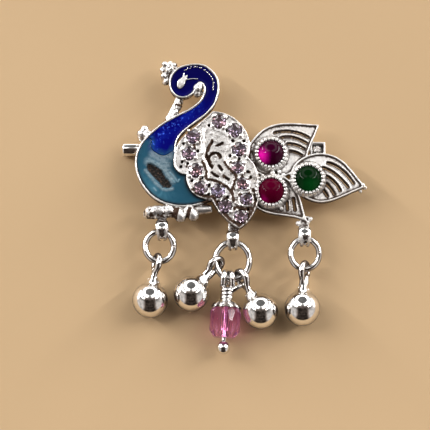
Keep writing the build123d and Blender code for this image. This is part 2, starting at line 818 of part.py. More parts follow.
def white_stone():
    # A brilliant: eight main facets crossed by eight more, above and below the girdle.
    corner = white_stone_radius / cos(radians(facet_turn / 2))
    table = stone_table / 2
    girdle = [(0, corner), (stone_girdle, corner)]
    low = -stone_pavilion
    mains = [(low, stone_culet / 2)] + girdle + [(stone_crown, table)]
    others = [(low, stone_lower_culet / 2)] + girdle + [(stone_crown, table * stone_star)]
    return facet_stack(8, 0, mains) & facet_stack(8, facet_turn, others)


def jump_ring(width, height, seam):
    path = EllipticalCenterArc(
        (0, 0), (width - ring_wire) / 2, (height - ring_wire) / 2, start_angle=seam + ring_seam,
        arc_size=360 - 2 * ring_seam
    )
    section = Plane(origin=path @ 0, z_dir=path % 0) * Circle(ring_wire / 2)
    return sweep(section, path=path)


def ring_centre(name, height, shift, drop):
    # The top wire runs through its bail a little below the loop's centre.
    x, y = bail_spots[name]
    return (x + shift, y - (height - ring_wire) / 2 - drop)


def hanging_point(centre, width, height, bearing):
    x = centre[0] + (width - ring_wire) / 2 * cos(radians(bearing))
    y = centre[1] + (height - ring_wire) / 2 * sin(radians(bearing))
    return (x, y)


def ball_drop():
    # Origin at the eyelet's centre, with the ball towards +X.
    middle = (eyelet_diameter - eyelet_wire) / 2
    eyelet = Rot(90, 0, 0) * Torus(middle, eyelet_wire / 2)
    ball = Pos(drop_length, 0, 0) * Sphere(ball_radius)
    shank_start = middle + solder_overlap
    collar_end = drop_length - ball_radius + collar_bite
    shank = Pos(shank_start, 0, 0) * Rot(0, 90, 0) * Cylinder(
        shank_diameter / 2, collar_end - shank_start, align=(Align.CENTER, Align.CENTER, Align.MIN)
    )
    collar = Pos(collar_end - collar_length, 0, 0) * Rot(0, 90, 0) * Cone(
        shank_diameter / 2, collar_diameter / 2, collar_length,
        align=(Align.CENTER, Align.CENTER, Align.MIN)
    )
    return ball + [eyelet, shank, collar]


def crystal_bead():
    corner = crystal_diameter / 2
    end = bead_end_diameter / 2
    half = bead_length / 2
    flat = bead_band / 2
    shoulder = flat * shoulder_reach
    wide = [(-half, end * end_blend), (-flat, corner), (flat, corner), (half, end * end_blend)]
    waisted = [
        (-half, end), (-shoulder, corner * bead_shoulder), (0, corner * bead_waist),
        (shoulder, corner * bead_shoulder), (half, end),
    ]
    bead = facet_stack(8, facet_turn, wide) & facet_stack(8, 0, waisted)
    bead = bead - Cylinder(bead_bore / 2, bead_length + cutter_overrun)
    return Pos(bead_reach, 0, 0) * Rot(0, 90, 0) * bead


def bead_cap():
    # A fluted cup over the bead's near end.
    top = bead_reach - bead_length / 2 - cap_height + cap_overlap
    outer = [(top + cap_height * share, cap_diameter * size) for share, size in cap_profile]
    inner = [(x, y - cap_wall) for x, y in outer]
    inner[0] = (top + cap_wall, inner[0][1])
    bore = bead_bore / 2
    edges = [
        Spline(*outer),
        Line(outer[-1], inner[-1]),
        Spline(*reversed(inner)),
        Polyline(inner[0], (inner[0][0], bore), (outer[0][0], bore), outer[0]),
    ]
    cap = revolve(make_face(edges), axis=Axis.X)
    notch = Pos(top + flute_reach, 0, cap_diameter / 2) * Sphere(flute_diameter / 2)
    return cap - [Rot(360 * number / cap_flutes, 0, 0) * notch for number in range(cap_flutes)]


def head_pin():
    wire = wire_diameter / 2
    loop = loop_diameter / 2 - wire
    solids = []
    for side in (-1, 1):
        solids.append(Pos(0, side * loop_spacing / 2, 0) * Rot(90, 0, 0) * Torus(loop, wire))
    shaft = Pos(loop, 0, 0) * Rot(0, 90, 0) * Cylinder(
        wire, end_ball_reach - loop, align=(Align.CENTER, Align.CENTER, Align.MIN)
    )
    coil = coil_diameter / 2 - wire
    neck = loop + wire
    for turn in range(coil_turns):
        place = Pos(neck + coil_start + turn * coil_pitch, 0, 0)
        solids.append(place * Rot(0, 90, 0) * Torus(coil, wire))
    tail_end = (neck - tail_back, coil + tail_out, tail_rise)
    solids.append(rod((neck, coil, 0), tail_end, tail_diameter / 2))
    solids.append(Pos(end_ball_reach, 0, 0) * Sphere(end_ball_diameter / 2))
    return shaft + solids


def hang(solid, point, play, bearing, level):
    # Moves a drop built along +X so that its eyelet holds the ring's wire at the given point.
    x, y = step(point, bearing, play)
    return Pos(x, y, level) * Rot(0, 0, bearing) * solid


def all_nodes():
    nodes = {"silver_casting": casting(), "pin_stem": pin_stem()}
    nodes.update(enamel_solids())
    stone = white_stone()
    for number, (x, y) in enumerate(stone_spots, start=1):
        turn = Rot(0, 0, stone_turn * number)
        nodes[f"white_stone_{number:02d}"] = Pos(x, y, stone_level) * turn * stone
    for name, (x, y), lift in zip(cabochon_names, cabochon_spots, cabochon_lifts):
        nodes[name] = Pos(x, y, 0) * cabochon_solid(lift)
    rings = {}
    for name, width, height, shift, drop, seam in ring_table:
        centre = ring_centre(name, height, shift, drop)
        rings[name] = (centre, width, height)
        nodes[name] = Pos(centre[0], centre[1], ring_level) * jump_ring(width, height, seam)
    ball = ball_drop()
    for name, ring, ring_bearing, bearing, share in drop_table:
        point = hanging_point(*rings[ring], ring_bearing)
        nodes[name] = hang(ball, point, share * eyelet_room, bearing, ball_radius)
    point = hanging_point(*rings["jump_ring_middle"], crystal_ring_bearing)
    hung = {"crystal_bead": crystal_bead(), "bead_cap": bead_cap(), "head_pin": head_pin()}
    for name, solid in hung.items():
        nodes[name] = hang(solid, point, crystal_play * eyelet_room, crystal_bearing, bead_level)
    return nodes


def write_parts():
    nodes = all_nodes()
    boxes = [solid.bounding_box() for solid in nodes.values()]
    middle_x = (min(box.min.X for box in boxes) + max(box.max.X for box in boxes)) / 2
    middle_y = (min(box.min.Y for box in boxes) + max(box.max.Y for box in boxes)) / 2
    shift = Pos(-middle_x, -middle_y, -min(box.min.Z for box in boxes))
    os.makedirs("parts", exist_ok=True)
    for name, solid in nodes.items():
        export_step(shift * solid, f"parts/{name}.step")


write_parts()
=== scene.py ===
import bpy
from math import cos, pi, radians, sin
import numpy as np
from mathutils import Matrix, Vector, noise


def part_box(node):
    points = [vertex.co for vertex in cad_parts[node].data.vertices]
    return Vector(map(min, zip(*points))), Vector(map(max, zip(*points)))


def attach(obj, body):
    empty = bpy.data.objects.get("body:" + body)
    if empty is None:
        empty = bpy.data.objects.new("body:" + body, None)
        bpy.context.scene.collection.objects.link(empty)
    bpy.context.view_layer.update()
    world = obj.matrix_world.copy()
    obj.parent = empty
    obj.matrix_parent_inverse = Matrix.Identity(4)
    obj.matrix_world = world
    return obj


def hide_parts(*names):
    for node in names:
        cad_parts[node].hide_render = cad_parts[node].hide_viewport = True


# Peacock saree pin, lying face up. Meshes are worked out in millimetres and written in metres.
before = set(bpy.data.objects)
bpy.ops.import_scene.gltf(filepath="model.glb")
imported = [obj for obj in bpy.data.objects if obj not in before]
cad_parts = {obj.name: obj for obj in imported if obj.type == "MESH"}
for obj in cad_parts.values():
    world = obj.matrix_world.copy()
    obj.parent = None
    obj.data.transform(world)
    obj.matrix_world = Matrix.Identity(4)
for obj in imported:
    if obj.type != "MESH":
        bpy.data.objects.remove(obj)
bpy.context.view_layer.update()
mm = 0.001
root = "root"
print("frame loaded, nodes:", len(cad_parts))


def boxOf(node):
    low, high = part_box(node)
    return np.array(low) / mm, np.array(high) / mm


def centreOf(node):
    low, high = boxOf(node)
    return (low + high) / 2


def spotsOf(node):
    return np.array([vertex.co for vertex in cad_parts[node].data.vertices]) / mm


# shader helpers: each builds in the node tree of the socket or node it is given

def newNode(near, kind):
    return near.id_data.nodes.new("ShaderNode" + kind)


def fill(node, values):
    # Sets a node's sockets, from other sockets or plain values
    for key, value in values.items():
        if isinstance(value, bpy.types.NodeSocket):
            node.id_data.links.new(value, node.inputs[key])
        else:
            node.inputs[key].default_value = value
    return node


def mathOf(operation, first, second, clamp=False):
    node = newNode(first if isinstance(first, bpy.types.NodeSocket) else second, "Math")
    node.operation = operation
    node.use_clamp = clamp
    return fill(node, {0: first, 1: second}).outputs[0]


def times(first, second, clamp=False):
    return mathOf("MULTIPLY", first, second, clamp)


def plus(first, second, clamp=False):
    return mathOf("ADD", first, second, clamp)


def minus(first, second, clamp=False):
    return mathOf("SUBTRACT", first, second, clamp)


def rangeOf(value, low, high, toLow=0.0, toHigh=1.0):
    node = newNode(value, "MapRange")
    node.interpolation_type = "SMOOTHSTEP"
    fill(node, {"Value": value, "From Min": low, "From Max": high, "To Min": toLow, "To Max": toHigh})
    return node.outputs["Result"]


def mixColour(amount, first, second):
    node = newNode(amount, "Mix")
    node.data_type = "RGBA"
    first, second = [(*value, 1) if isinstance(value, tuple) else value for value in (first, second)]
    return fill(node, {0: amount, 6: first, 7: second}).outputs[2]


def noiseOf(place, scale, detail=3.0, roughness=0.5, distortion=0.0):
    node = newNode(place, "TexNoise")
    fill(node, {"Vector": place, "Scale": scale, "Detail": detail, "Roughness": roughness,
                "Distortion": distortion})
    return node.outputs["Fac"]


def placeOf(near):
    return newNode(near, "TexCoord").outputs["Object"]


def attributeOf(near, name):
    node = newNode(near, "Attribute")
    node.attribute_name = name
    return node.outputs["Fac"]


def newMaterial(name):
    material = bpy.data.materials.new(name)
    material.use_nodes = True
    shader = material.node_tree.nodes["Principled BSDF"]
    return material, shader, placeOf(shader)


def bumpOf(shader, height, strength, distance):
    node = newNode(shader, "Bump")
    fill(node, {"Strength": strength, "Distance": distance, "Height": height})
    fill(shader, {"Normal": node.outputs["Normal"]})


# silver

silverColours = {"fresh": (0.975, 0.97, 0.965), "worn": (0.9, 0.875, 0.85), "tarnish": (0.075, 0.045, 0.032)}
silverInputs = ("Skin Scale", "Tarnish", "Speckle", "Smooth", "Dull")
# values of the inputs above, then the strength and depth of the bump, metres
silverLooks = {
    "castSilver": ((2600.0, 1.0, 2.2, 0.24, 0.35), 0.55, 0.0001),
    "satinSilver": ((3200.0, 0.95, 0.9, 0.46, 0.3), 0.4, 0.00006),
    "bezelSilver": ((2600.0, 0.9, 0.3, 0.3, 0.35), 0.2, 0.00004),
    "brightSilver": ((1400.0, 0.9, 0.3, 0.03, 0.3), 0.1, 0.00002),
}


def silverGroup():
    # Silver darkened by tarnish left in the recesses and by painted shade, with uneven polish and a fine skin
    group = bpy.data.node_groups.new("silverFinish", "ShaderNodeTree")
    for name in silverInputs:
        group.interface.new_socket(name, in_out="INPUT", socket_type="NodeSocketFloat")
    for name, kind in (("Color", "Color"), ("Roughness", "Float"), ("Height", "Float")):
        group.interface.new_socket(name, in_out="OUTPUT", socket_type="NodeSocket" + kind)
    entry = group.nodes.new("NodeGroupInput").outputs
    place = placeOf(entry[0])
    skin = noiseOf(place, entry["Skin Scale"], 5.0, 0.6)
    patches = noiseOf(place, 260.0, 3.0, 0.55)
    # tarnish in hollows together with painted shade on walls, wires, slits and rims, plus speckle
    tarnishAndShadeAmount = plus(attributeOf(place, "recess"), times(minus(skin, 0.5), entry["Speckle"]))
    tarnishAndShadeAmount = times(rangeOf(tarnishAndShadeAmount, 0.22, 0.75), entry["Tarnish"], True)
    fresh = mixColour(rangeOf(patches, 0.35, 0.7), silverColours["fresh"], silverColours["worn"])
    rough = plus(entry["Smooth"], times(patches, 0.14))
    fill(group.nodes.new("NodeGroupOutput"), {
        "Color": mixColour(tarnishAndShadeAmount, fresh, silverColours["tarnish"]),
        "Roughness": plus(rough, times(tarnishAndShadeAmount, entry["Dull"]), True),
        "Height": plus(skin, times(patches, 0.6))})
    return group


silverFinish = silverGroup()


def silverMaterial(name):
    values, strength, depth = silverLooks[name]
    material, shader, place = newMaterial(name)
    group = newNode(shader, "Group")
    group.node_tree = silverFinish
    finish = fill(group, dict(zip(silverInputs, values))).outputs
    fill(shader, {"Base Color": finish["Color"], "Roughness": finish["Roughness"], "Metallic": 1.0})
    bumpOf(shader, finish["Height"], strength, depth)
    return material


castSilver, satinSilver, bezelSilver, brightSilver = [silverMaterial(name) for name in silverLooks]

# enamel, stones, crystal and table

enamelLook = {
    # glint and spark are painted highlights on the blue enamel
    "navy": (0.001, 0.0005, 0.072), "royal": (0.0008, 0.001, 0.155), "glint": (0.01, 0.06, 0.9),
    "spark": (0.06, 0.16, 1.0),
    "teal": (0.016, 0.085, 0.14), "tealLight": (0.07, 0.22, 0.31), "crust": (0.32, 0.42, 0.47),
    # the edge colour is painted shade beside the raised rim
    "edgeDark": (0.008, 0.012, 0.016), "pitDark": (0.006, 0.004, 0.003), "pitLight": (0.1, 0.055, 0.04),
    "grain": 2600.0,  # scale of the powder grains
    "deepFrom": 4.0, "deepTo": 12.0,  # where royal turns to navy, mm above the blue's low end
}


def blueEnamelMaterial():
    look = enamelLook
    material, shader, place = newMaterial("blueEnamelGlaze")
    split = fill(newNode(place, "SeparateXYZ"), {0: place})
    low = boxOf("blue_enamel")[0][1]
    height = rangeOf(split.outputs["Y"], (low + look["deepFrom"]) * mm, (low + look["deepTo"]) * mm)
    flow = noiseOf(place, 520.0, 4.0, 0.6, 0.6)
    grains = noiseOf(place, look["grain"], 2.0, 0.7)
    glow = attributeOf(place, "glow")
    colour = mixColour(height, look["royal"], look["navy"])
    # painted glints and sparks along the glint line
    colour = mixColour(times(times(glow, rangeOf(flow, 0.34, 0.6)), 0.16), colour, look["glint"])
    seam = times(attributeOf(place, "blend"), rangeOf(grains, 0.3, 0.7, 0.35, 0.7))
    colour = mixColour(seam, colour, look["teal"])
    colour = mixColour(times(times(rangeOf(grains, 0.56, 0.68), glow), 0.8), colour, look["spark"])
    fill(shader, {"Base Color": colour, "Roughness": 0.12, "Specular IOR Level": 0.13, "IOR": 1.5})
    bumpOf(shader, plus(flow, times(grains, 0.15)), 0.25, 0.00008)
    return material


def tealEnamelMaterial():
    look = enamelLook
    material, shader, place = newMaterial("tealEnamelGlaze")
    flow = noiseOf(place, 420.0, 4.0, 0.6, 1.2)
    grains = noiseOf(place, look["grain"], 3.0, 0.7)
    light = plus(attributeOf(place, "glow"), minus(flow, 0.5))
    crust = times(attributeOf(place, "crust"), rangeOf(grains, 0.2, 0.7, 0.25, 1.0))
    seam = times(attributeOf(place, "blend"), rangeOf(grains, 0.3, 0.7, 0.2, 0.6))
    pit = attributeOf(place, "pit")
    colour = mixColour(rangeOf(light, 0.0, 0.7), look["teal"], look["tealLight"])
    colour = mixColour(seam, colour, look["royal"])
    colour = mixColour(crust, colour, look["crust"])
    # painted shade beside the raised rim
    colour = mixColour(attributeOf(place, "edgeDark"), colour, look["edgeDark"])
    colour = mixColour(pit, colour, mixColour(rangeOf(grains, 0.52, 0.7), look["pitDark"], look["pitLight"]))
    rough = plus(plus(times(crust, 0.35), times(pit, 0.45)), 0.16, True)
    fill(shader, {"Base Color": colour, "Roughness": rough, "Specular IOR Level": 0.3})
    bumpOf(shader, plus(flow, times(times(plus(crust, pit), grains), 2.0)), 0.35, 0.0001)
    return material


def whiteStoneMaterial():
    material, shader, place = newMaterial("whiteStone")
    tint = rangeOf(noiseOf(place, 700.0, 1.0), 0.35, 0.65)
    fill(shader, {"Base Color": mixColour(tint, (0.7, 0.4, 0.43), (0.56, 0.5, 0.78)),
                  "Transmission Weight": 1.0, "IOR": 2.1, "Roughness": 0.01})
    return material


# deep colour, painted glow colour, where the painted glow lies from the middle and how far it reaches in mm,
# shine
cabochonLooks = {
    "ruby_cabochon_upper": ("rubyUpper", (0.03, 0.0, 0.012), (1.0, 0.005, 0.5), (-1.25, -0.5, 1.7), 0.1),
    "ruby_cabochon_lower": ("rubyLower", (0.07, 0.0, 0.012), (0.3, 0.0, 0.1), (-1.2, -1.45, 1.2), 0.04),
    "green_cabochon": ("greenDome", (0.0006, 0.014, 0.002), (0.003, 0.07, 0.012), (0.3, -1.3, 2.2), 0.065),
}


def cabochonMaterial(node):
    # Deep colour with a painted glow of light gathered at one side, as foil-backed domes show it
    name, deep, glow, (stepX, stepY, reach), shine = cabochonLooks[node]
    material, shader, place = newMaterial(name)
    spot = (centreOf(node) + (stepX, stepY, 0)) * mm
    offset = newNode(place, "VectorMath")
    offset.operation = "DISTANCE"
    fill(offset, {0: place, 1: tuple(spot)})
    flow = noiseOf(place, 900.0, 3.0, 0.6)
    away = plus(offset.outputs["Value"], times(minus(flow, 0.5), 0.6 * mm))
    fill(shader, {"Base Color": mixColour(rangeOf(away, reach * mm, 0.0), deep, glow),
                  "Roughness": 0.03, "IOR": 1.5, "Specular IOR Level": shine})
    bumpOf(shader, flow, 0.05, 0.00003)
    return material


def crystalMaterial():
    material, shader, place = newMaterial("pinkCrystal")
    colour = mixColour(noiseOf(place, 300.0, 2.0), (1.0, 0.52, 0.74), (0.97, 0.64, 0.88))
    # the emission paints a faint pink glow into the crystal
    fill(shader, {"Base Color": colour, "Transmission Weight": 1.0, "IOR": 1.5, "Roughness": 0.02,
                  "Emission Color": (0.8, 0.2, 0.5, 1), "Emission Strength": 0.035})
    return material


def tableMaterial():
    material, shader, place = newMaterial("paleTable")
    colour = mixColour(noiseOf(place, 14.0, 2.0), (0.54, 0.38, 0.215), (0.64, 0.455, 0.265))
    fill(shader, {"Base Color": colour, "Roughness": 0.6, "Specular IOR Level": 0.2})
    bumpOf(shader, noiseOf(place, 2200.0, 3.0, 0.6), 0.1, 0.00005)
    return material


# mesh helpers

def objectFrom(name, points, faces):
    mesh = bpy.data.meshes.new(name)
    mesh.from_pydata([tuple(point) for point in points], [], faces)
    piece = bpy.data.objects.new(name, mesh)
    bpy.context.scene.collection.objects.link(piece)
    return piece


def pieceFrom(name, points, faces, material, replaced=(), values=None):
    # A smooth piece from points in millimetres; values holds extra numbers for each point
    piece = objectFrom(name, np.asarray(points) * mm, faces)
    mesh = piece.data
    mesh.validate()
    for key, numbers in (values or {}).items():
        layer = mesh.attributes.new(key, "FLOAT", "POINT")
        layer.data.foreach_set("value", np.asarray(numbers, np.float32))
    mesh.polygons.foreach_set("use_smooth", [True] * len(mesh.polygons))
    mesh.materials.append(material)
    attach(piece, root)
    if replaced:
        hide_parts(*replaced)
    return piece


def lengths(rows):
    return np.linalg.norm(rows, axis=1)


def lengthOf(line):
    return float(lengths(np.roll(line, -1, 0) - line).sum())


def areaOf(loop):
    # Positive when the loop runs counterclockwise
    onward = np.roll(loop, -1, 0)
    return float(np.sum(loop[:, 0] * onward[:, 1] - loop[:, 1] * onward[:, 0])) / 2


def loopsAt(node, level, margin=0.02):
    # Closed outlines of the flat faces that lie at one height, longest first
    keys = [tuple(np.round(spot * 1000).astype(int)) for spot in spotsOf(node)]
    edges = {}
    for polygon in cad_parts[node].data.polygons:
        corners = [keys[index] for index in polygon.vertices]
        if all(abs(corner[2] / 1000 - level) < margin for corner in corners):
            for first, second in zip(corners, corners[1:] + corners[:1]):
                if (second, first) in edges:
                    del edges[(second, first)]
                else:
                    edges[(first, second)] = True
    follow = {}
    for first, second in edges:
        follow.setdefault(first, []).append(second)
    loops = []
    while follow:
        start = spot = next(iter(follow))
        line = [start]
        while spot in follow:
            onward = follow[spot].pop()
            if not follow[spot]:
                del follow[spot]
            spot = onward
            if spot == start:
                break
            line.append(spot)
        if len(line) > 2:
            loops.append(np.array(line)[:, :2] / 1000)
    return sorted(loops, key=lambda line: -lengthOf(line))


def evenLoop(line, spacing):
    # The same outline with evenly spaced points
    closed = np.vstack([line, line[:1]])
    along = np.concatenate([[0], np.cumsum(lengths(np.diff(closed, axis=0)))])
    count = max(8, int(round(along[-1] / spacing)))
    stations = np.linspace(0, along[-1], count, endpoint=False)
    return np.column_stack([np.interp(stations, along, closed[:, axis]) for axis in range(2)])


def inward(loop, distance):
    # The outline moved towards its inside
    along = np.roll(loop, -1, 0) - np.roll(loop, 1, 0)
    along /= lengths(along)[:, None]
    normal = np.column_stack([-along[:, 1], along[:, 0]])
    return loop + normal * distance * (1 if areaOf(loop) > 0 else -1)


def smoothLine(points, spacing=0.12):
    # A smooth line through a few points
    points = np.asarray(points, float)
    padded = np.vstack([2 * points[0] - points[1], points, 2 * points[-1] - points[-2]])
    rows = []
    for number in range(1, len(padded) - 2):
        before, here, after, beyond = padded[number - 1:number + 3]
        count = max(2, int(np.linalg.norm(after - here) / spacing))
        for share in np.arange(count) / count:
            rows.append(0.5 * (2 * here + (after - before) * share
                        + (2 * before - 5 * here + 4 * after - beyond) * share ** 2
                        + (3 * here - before - 3 * after + beyond) * share ** 3))
    rows.append(points[-1])
    return np.array(rows)


def atLevel(line, level):
    return np.column_stack([line, np.full(len(line), level)])


def distanceTo(spots, line, closed=False):
    # Distance of each spot from a line in the plane
    line = np.asarray(line, float)
    ends = np.roll(line, -1, 0) if closed else line[1:]
    nearest = np.full(len(spots), 1e9)
    for start, end in zip(line, ends):
        way = end - start
        share = np.clip(((spots - start) @ way) / max(way @ way, 1e-12), 0, 1)
        nearest = np.minimum(nearest, lengths(spots - start - share[:, None] * way))
    return nearest


def nearAny(spots, rows, fade):
    # The strongest of the fades along several smooth lines
    return np.max([fadeOf(distanceTo(spots, smoothLine(row)), fade) for row in rows], axis=0)


def fadeOf(distance, reach):
    share = np.clip(1 - distance / reach, 0, 1)
    return share ** 2 * (3 - 2 * share)


def insideOf(spots, loop):
    inside = np.zeros(len(spots), bool)
    for start, end in zip(loop, np.roll(loop, -1, 0)):
        run, rise = end - start
        if abs(rise) > 1e-12:
            crosses = (start[1] > spots[:, 1]) != (end[1] > spots[:, 1])
            inside ^= crosses & (spots[:, 0] < start[0] + (spots[:, 1] - start[1]) * run / rise)
    return inside


def turnsOf(count):
    return np.arange(count) * 2 * pi / count


def strips(count, across, roundCount=True, roundAcross=True, flipped=False):
    # Quads between neighbouring rows of a grid of points
    faces = []
    for number in range(count if roundCount else count - 1):
        here, there = number * across, (number + 1) % count * across
        for index in range(across if roundAcross else across - 1):
            onward = (index + 1) % across
            quad = (here + index, here + onward, there + onward, there + index)
            faces.append((quad[0], *quad[:0:-1]) if flipped else quad)
    return faces


def tube(points, radii, sides=12, closed=False):
    # A round bar along points in space
    points = np.asarray(points, float)
    count = len(points)
    along = np.roll(points, -1, 0) - np.roll(points, 1, 0) if closed else np.gradient(points, axis=0)
    along /= lengths(along)[:, None]
    side = np.cross((0.0, 0.0, 1.0) if abs(along[0][2]) < 0.9 else (0.0, 1.0, 0.0), along[0])
    rows = []
    for spot, way, radius in zip(points, along, np.broadcast_to(radii, (count,))):
        side = side - way * (side @ way)
        side /= np.linalg.norm(side)
        other = np.cross(way, side)
        rows += [spot + radius * (cos(turn) * side + sin(turn) * other) for turn in turnsOf(sides)]
    faces = strips(count, sides, closed)
    if not closed:
        faces.append(tuple(range(sides))[::-1])
        faces.append(tuple((count - 1) * sides + turn for turn in range(sides)))
    return np.array(rows), faces


def ball(centre, radius, rings=6):
    sides = rings * 2
    rows = [(0, 0, -1)]
    for ring in range(1, rings):
        level = pi * ring / rings
        rows += [(sin(level) * cos(turn), sin(level) * sin(turn), -cos(level)) for turn in turnsOf(sides)]
    rows.append((0, 0, 1))
    faces = []
    for turn in range(sides):
        onward = (turn + 1) % sides
        faces.append((0, 1 + onward, 1 + turn))
        for ring in range(rings - 2):
            here = 1 + ring * sides
            faces.append((here + turn, here + onward, here + sides + onward, here + sides + turn))
        last = 1 + (rings - 2) * sides
        faces.append((last + turn, last + onward, len(rows) - 1))
    return np.array(rows) * radius + centre, faces


def lathe(profile, sides):
    # Turns (radius, height) rows about Z
    rows = [(radius * cos(turn), radius * sin(turn), height)
            for turn in turnsOf(sides) for radius, height in profile]
    return np.array(rows), strips(sides, len(profile), True, False, True)


def joined(solids):
    faces = []
    count = 0
    for points, polygons in solids:
        faces.extend(tuple(index + count for index in polygon) for polygon in polygons)
        count += len(points)
    return np.vstack([points for points, polygons in solids]), faces


print("helpers ready")


# cast silver: the body's solid, grown together with its grains, lumps and rims

levels = {"bird": 3.81, "wing": 4.3, "leaf": 3.1, "frontLeaf": 3.46}
castLook = {
    "grain": 0.1,  # size of the smallest form kept, mm
    "softening": 2,  # passes that round the edges
    "wobble": 0.035, "wobbleSizes": (0.9, 0.35),  # unevenness of the cast surface and its scales, mm
    "rimWire": 0.15,  # radius of the bird's rim
    "rimIn": 0.13,  # how far it lies inside the outline
    "wingWire": 0.11,  # radius of the line round the wing
    "wingIn": 0.08,
    "prong": 0.27,  # radius of a grain beside a stone
    "prongReach": 1.12,  # its distance from the stone's middle
    "prongRise": 0.06,  # its middle above the wing's top
    "prongGaps": (1.2, 0.55),  # least distance from another stone's middle and from another grain
    "slitWidth": 0.22,  # outlines with less area for their length are slits, mm
    "lipStep": 0.14,  # how far the raised line round a slit lies outside it, mm
    "lipWire": 0.1,
    "rimLine": 0.22,  # half width of the dark line inside a feather's rim, mm
    "recessReach": 12,  # passes that find the recesses
    "recessDepth": 0.14,  # depth that is fully dark, mm
    "wallShade": 0.75,  # painted shade on upright walls
    "wallFrom": 1.9, "wallFade": 0.5,  # height above which they show it, mm
    # the lower wing and feathers are darker and rougher towards the bottom: top, fade and left end in mm, and
    # how much
    "dullBelow": 5.0, "dullFade": 7.0, "dullFrom": -7.5, "dullShare": 0.2,
    "birdRight": -9.0,  # where the bird's mesh ends and the wing's begins, mm
    "feathersLeft": 0.3,  # how far left of the upper ruby the feathers' mesh begins
    "wireSpacing": 0.2, "lipSpacing": 0.15,  # spacing of points along the raised lines
    "seatGap": 0.04,  # from a cabochon's seat to the stone
    "collar": 2.75, "collarLeft": 0.2,  # radius of a bezel's plain collar and the height left of it
    # lumps (x, y, z, radius) on the crest,
    "crest": [
        (-11.95, 21.75, 3.3, 0.52), (-11.1, 22.0, 3.0, 0.4), (-10.6, 21.6, 3.5, 0.42),
        (-12.3, 20.9, 3.1, 0.45), (-11.5, 20.7, 3.7, 0.4), (-12.1, 19.9, 3.4, 0.48),
        (-11.75, 19.1, 3.2, 0.4), (-10.9, 21.0, 3.75, 0.36)],
    # at the feathers' tips,
    "tips": [
        (18.15, 2.75, 3.2, 0.36), (17.5, 2.25, 2.9, 0.3), (17.85, 3.15, 3.6, 0.28),
        (9.95, -2.0, 3.2, 0.36), (9.6, -2.5, 3.0, 0.32), (8.1, -2.6, 2.9, 0.4)],
    # and of solder at the beak, bracket and twig and between the cabochons
    "solder": [
        (-6.95, 17.95, 3.4, 0.8), (-6.65, 18.5, 3.5, 0.55), (-7.05, 17.2, 3.3, 0.65),
        (-14.5, 10.9, 2.8, 0.9), (-15.3, 11.05, 2.7, 0.85), (-14.95, 11.8, 2.8, 0.65),
        (-14.0, -1.0, 3.2, 1.0), (-13.3, -0.9, 3.4, 0.95), (-12.6, -0.85, 3.35, 0.95),
        (-11.9, -0.85, 3.4, 0.93), (-11.2, -0.8, 3.35, 0.9), (-14.45, -1.25, 3.0, 0.75),
        (4.3, 4.95, 3.45, 0.42), (5.3, 5.2, 3.4, 0.34), (5.9, 4.7, 3.4, 0.3), (6.2, 7.3, 3.3, 0.32),
        (5.6, -0.4, 3.4, 0.3), (-5.9, 17.1, 3.1, 0.3)],
    # strut behind the neck, and the eye's corner and lid with their radii
    "strut": [(-9.85, 16.8), (-10.1, 15.9), (-10.5, 14.9), (-11.0, 13.8), (-11.4, 13.0)],
    "strutLevel": 3.15, "strutRadii": (0.42, 0.66),
    "eyeLines": [([(-8.54, 19.255), (-7.7, 19.4), (-6.89, 19.33)], 0.11),
                 ([(-9.2, 19.4), (-8.99, 20.3)], 0.13)],
    # painted shade and dark reflections as strips on the claws (left, right, low, high), their slope and
    # their least height
    "clawShades": [(-10.75, -9.85, -2.9, -0.3), (-8.7, -8.05, -2.6, -0.3)],
    "clawSlope": 0.25, "clawFrom": 2.3,
    "twig": (-10.6, -2.2, -0.1),  # right end, low and top of the dappled part of the twig
    "twigEye": (-13.85, -1.45, 3.9, 0.36),  # painted shade of the hole in its end, and its radius
}
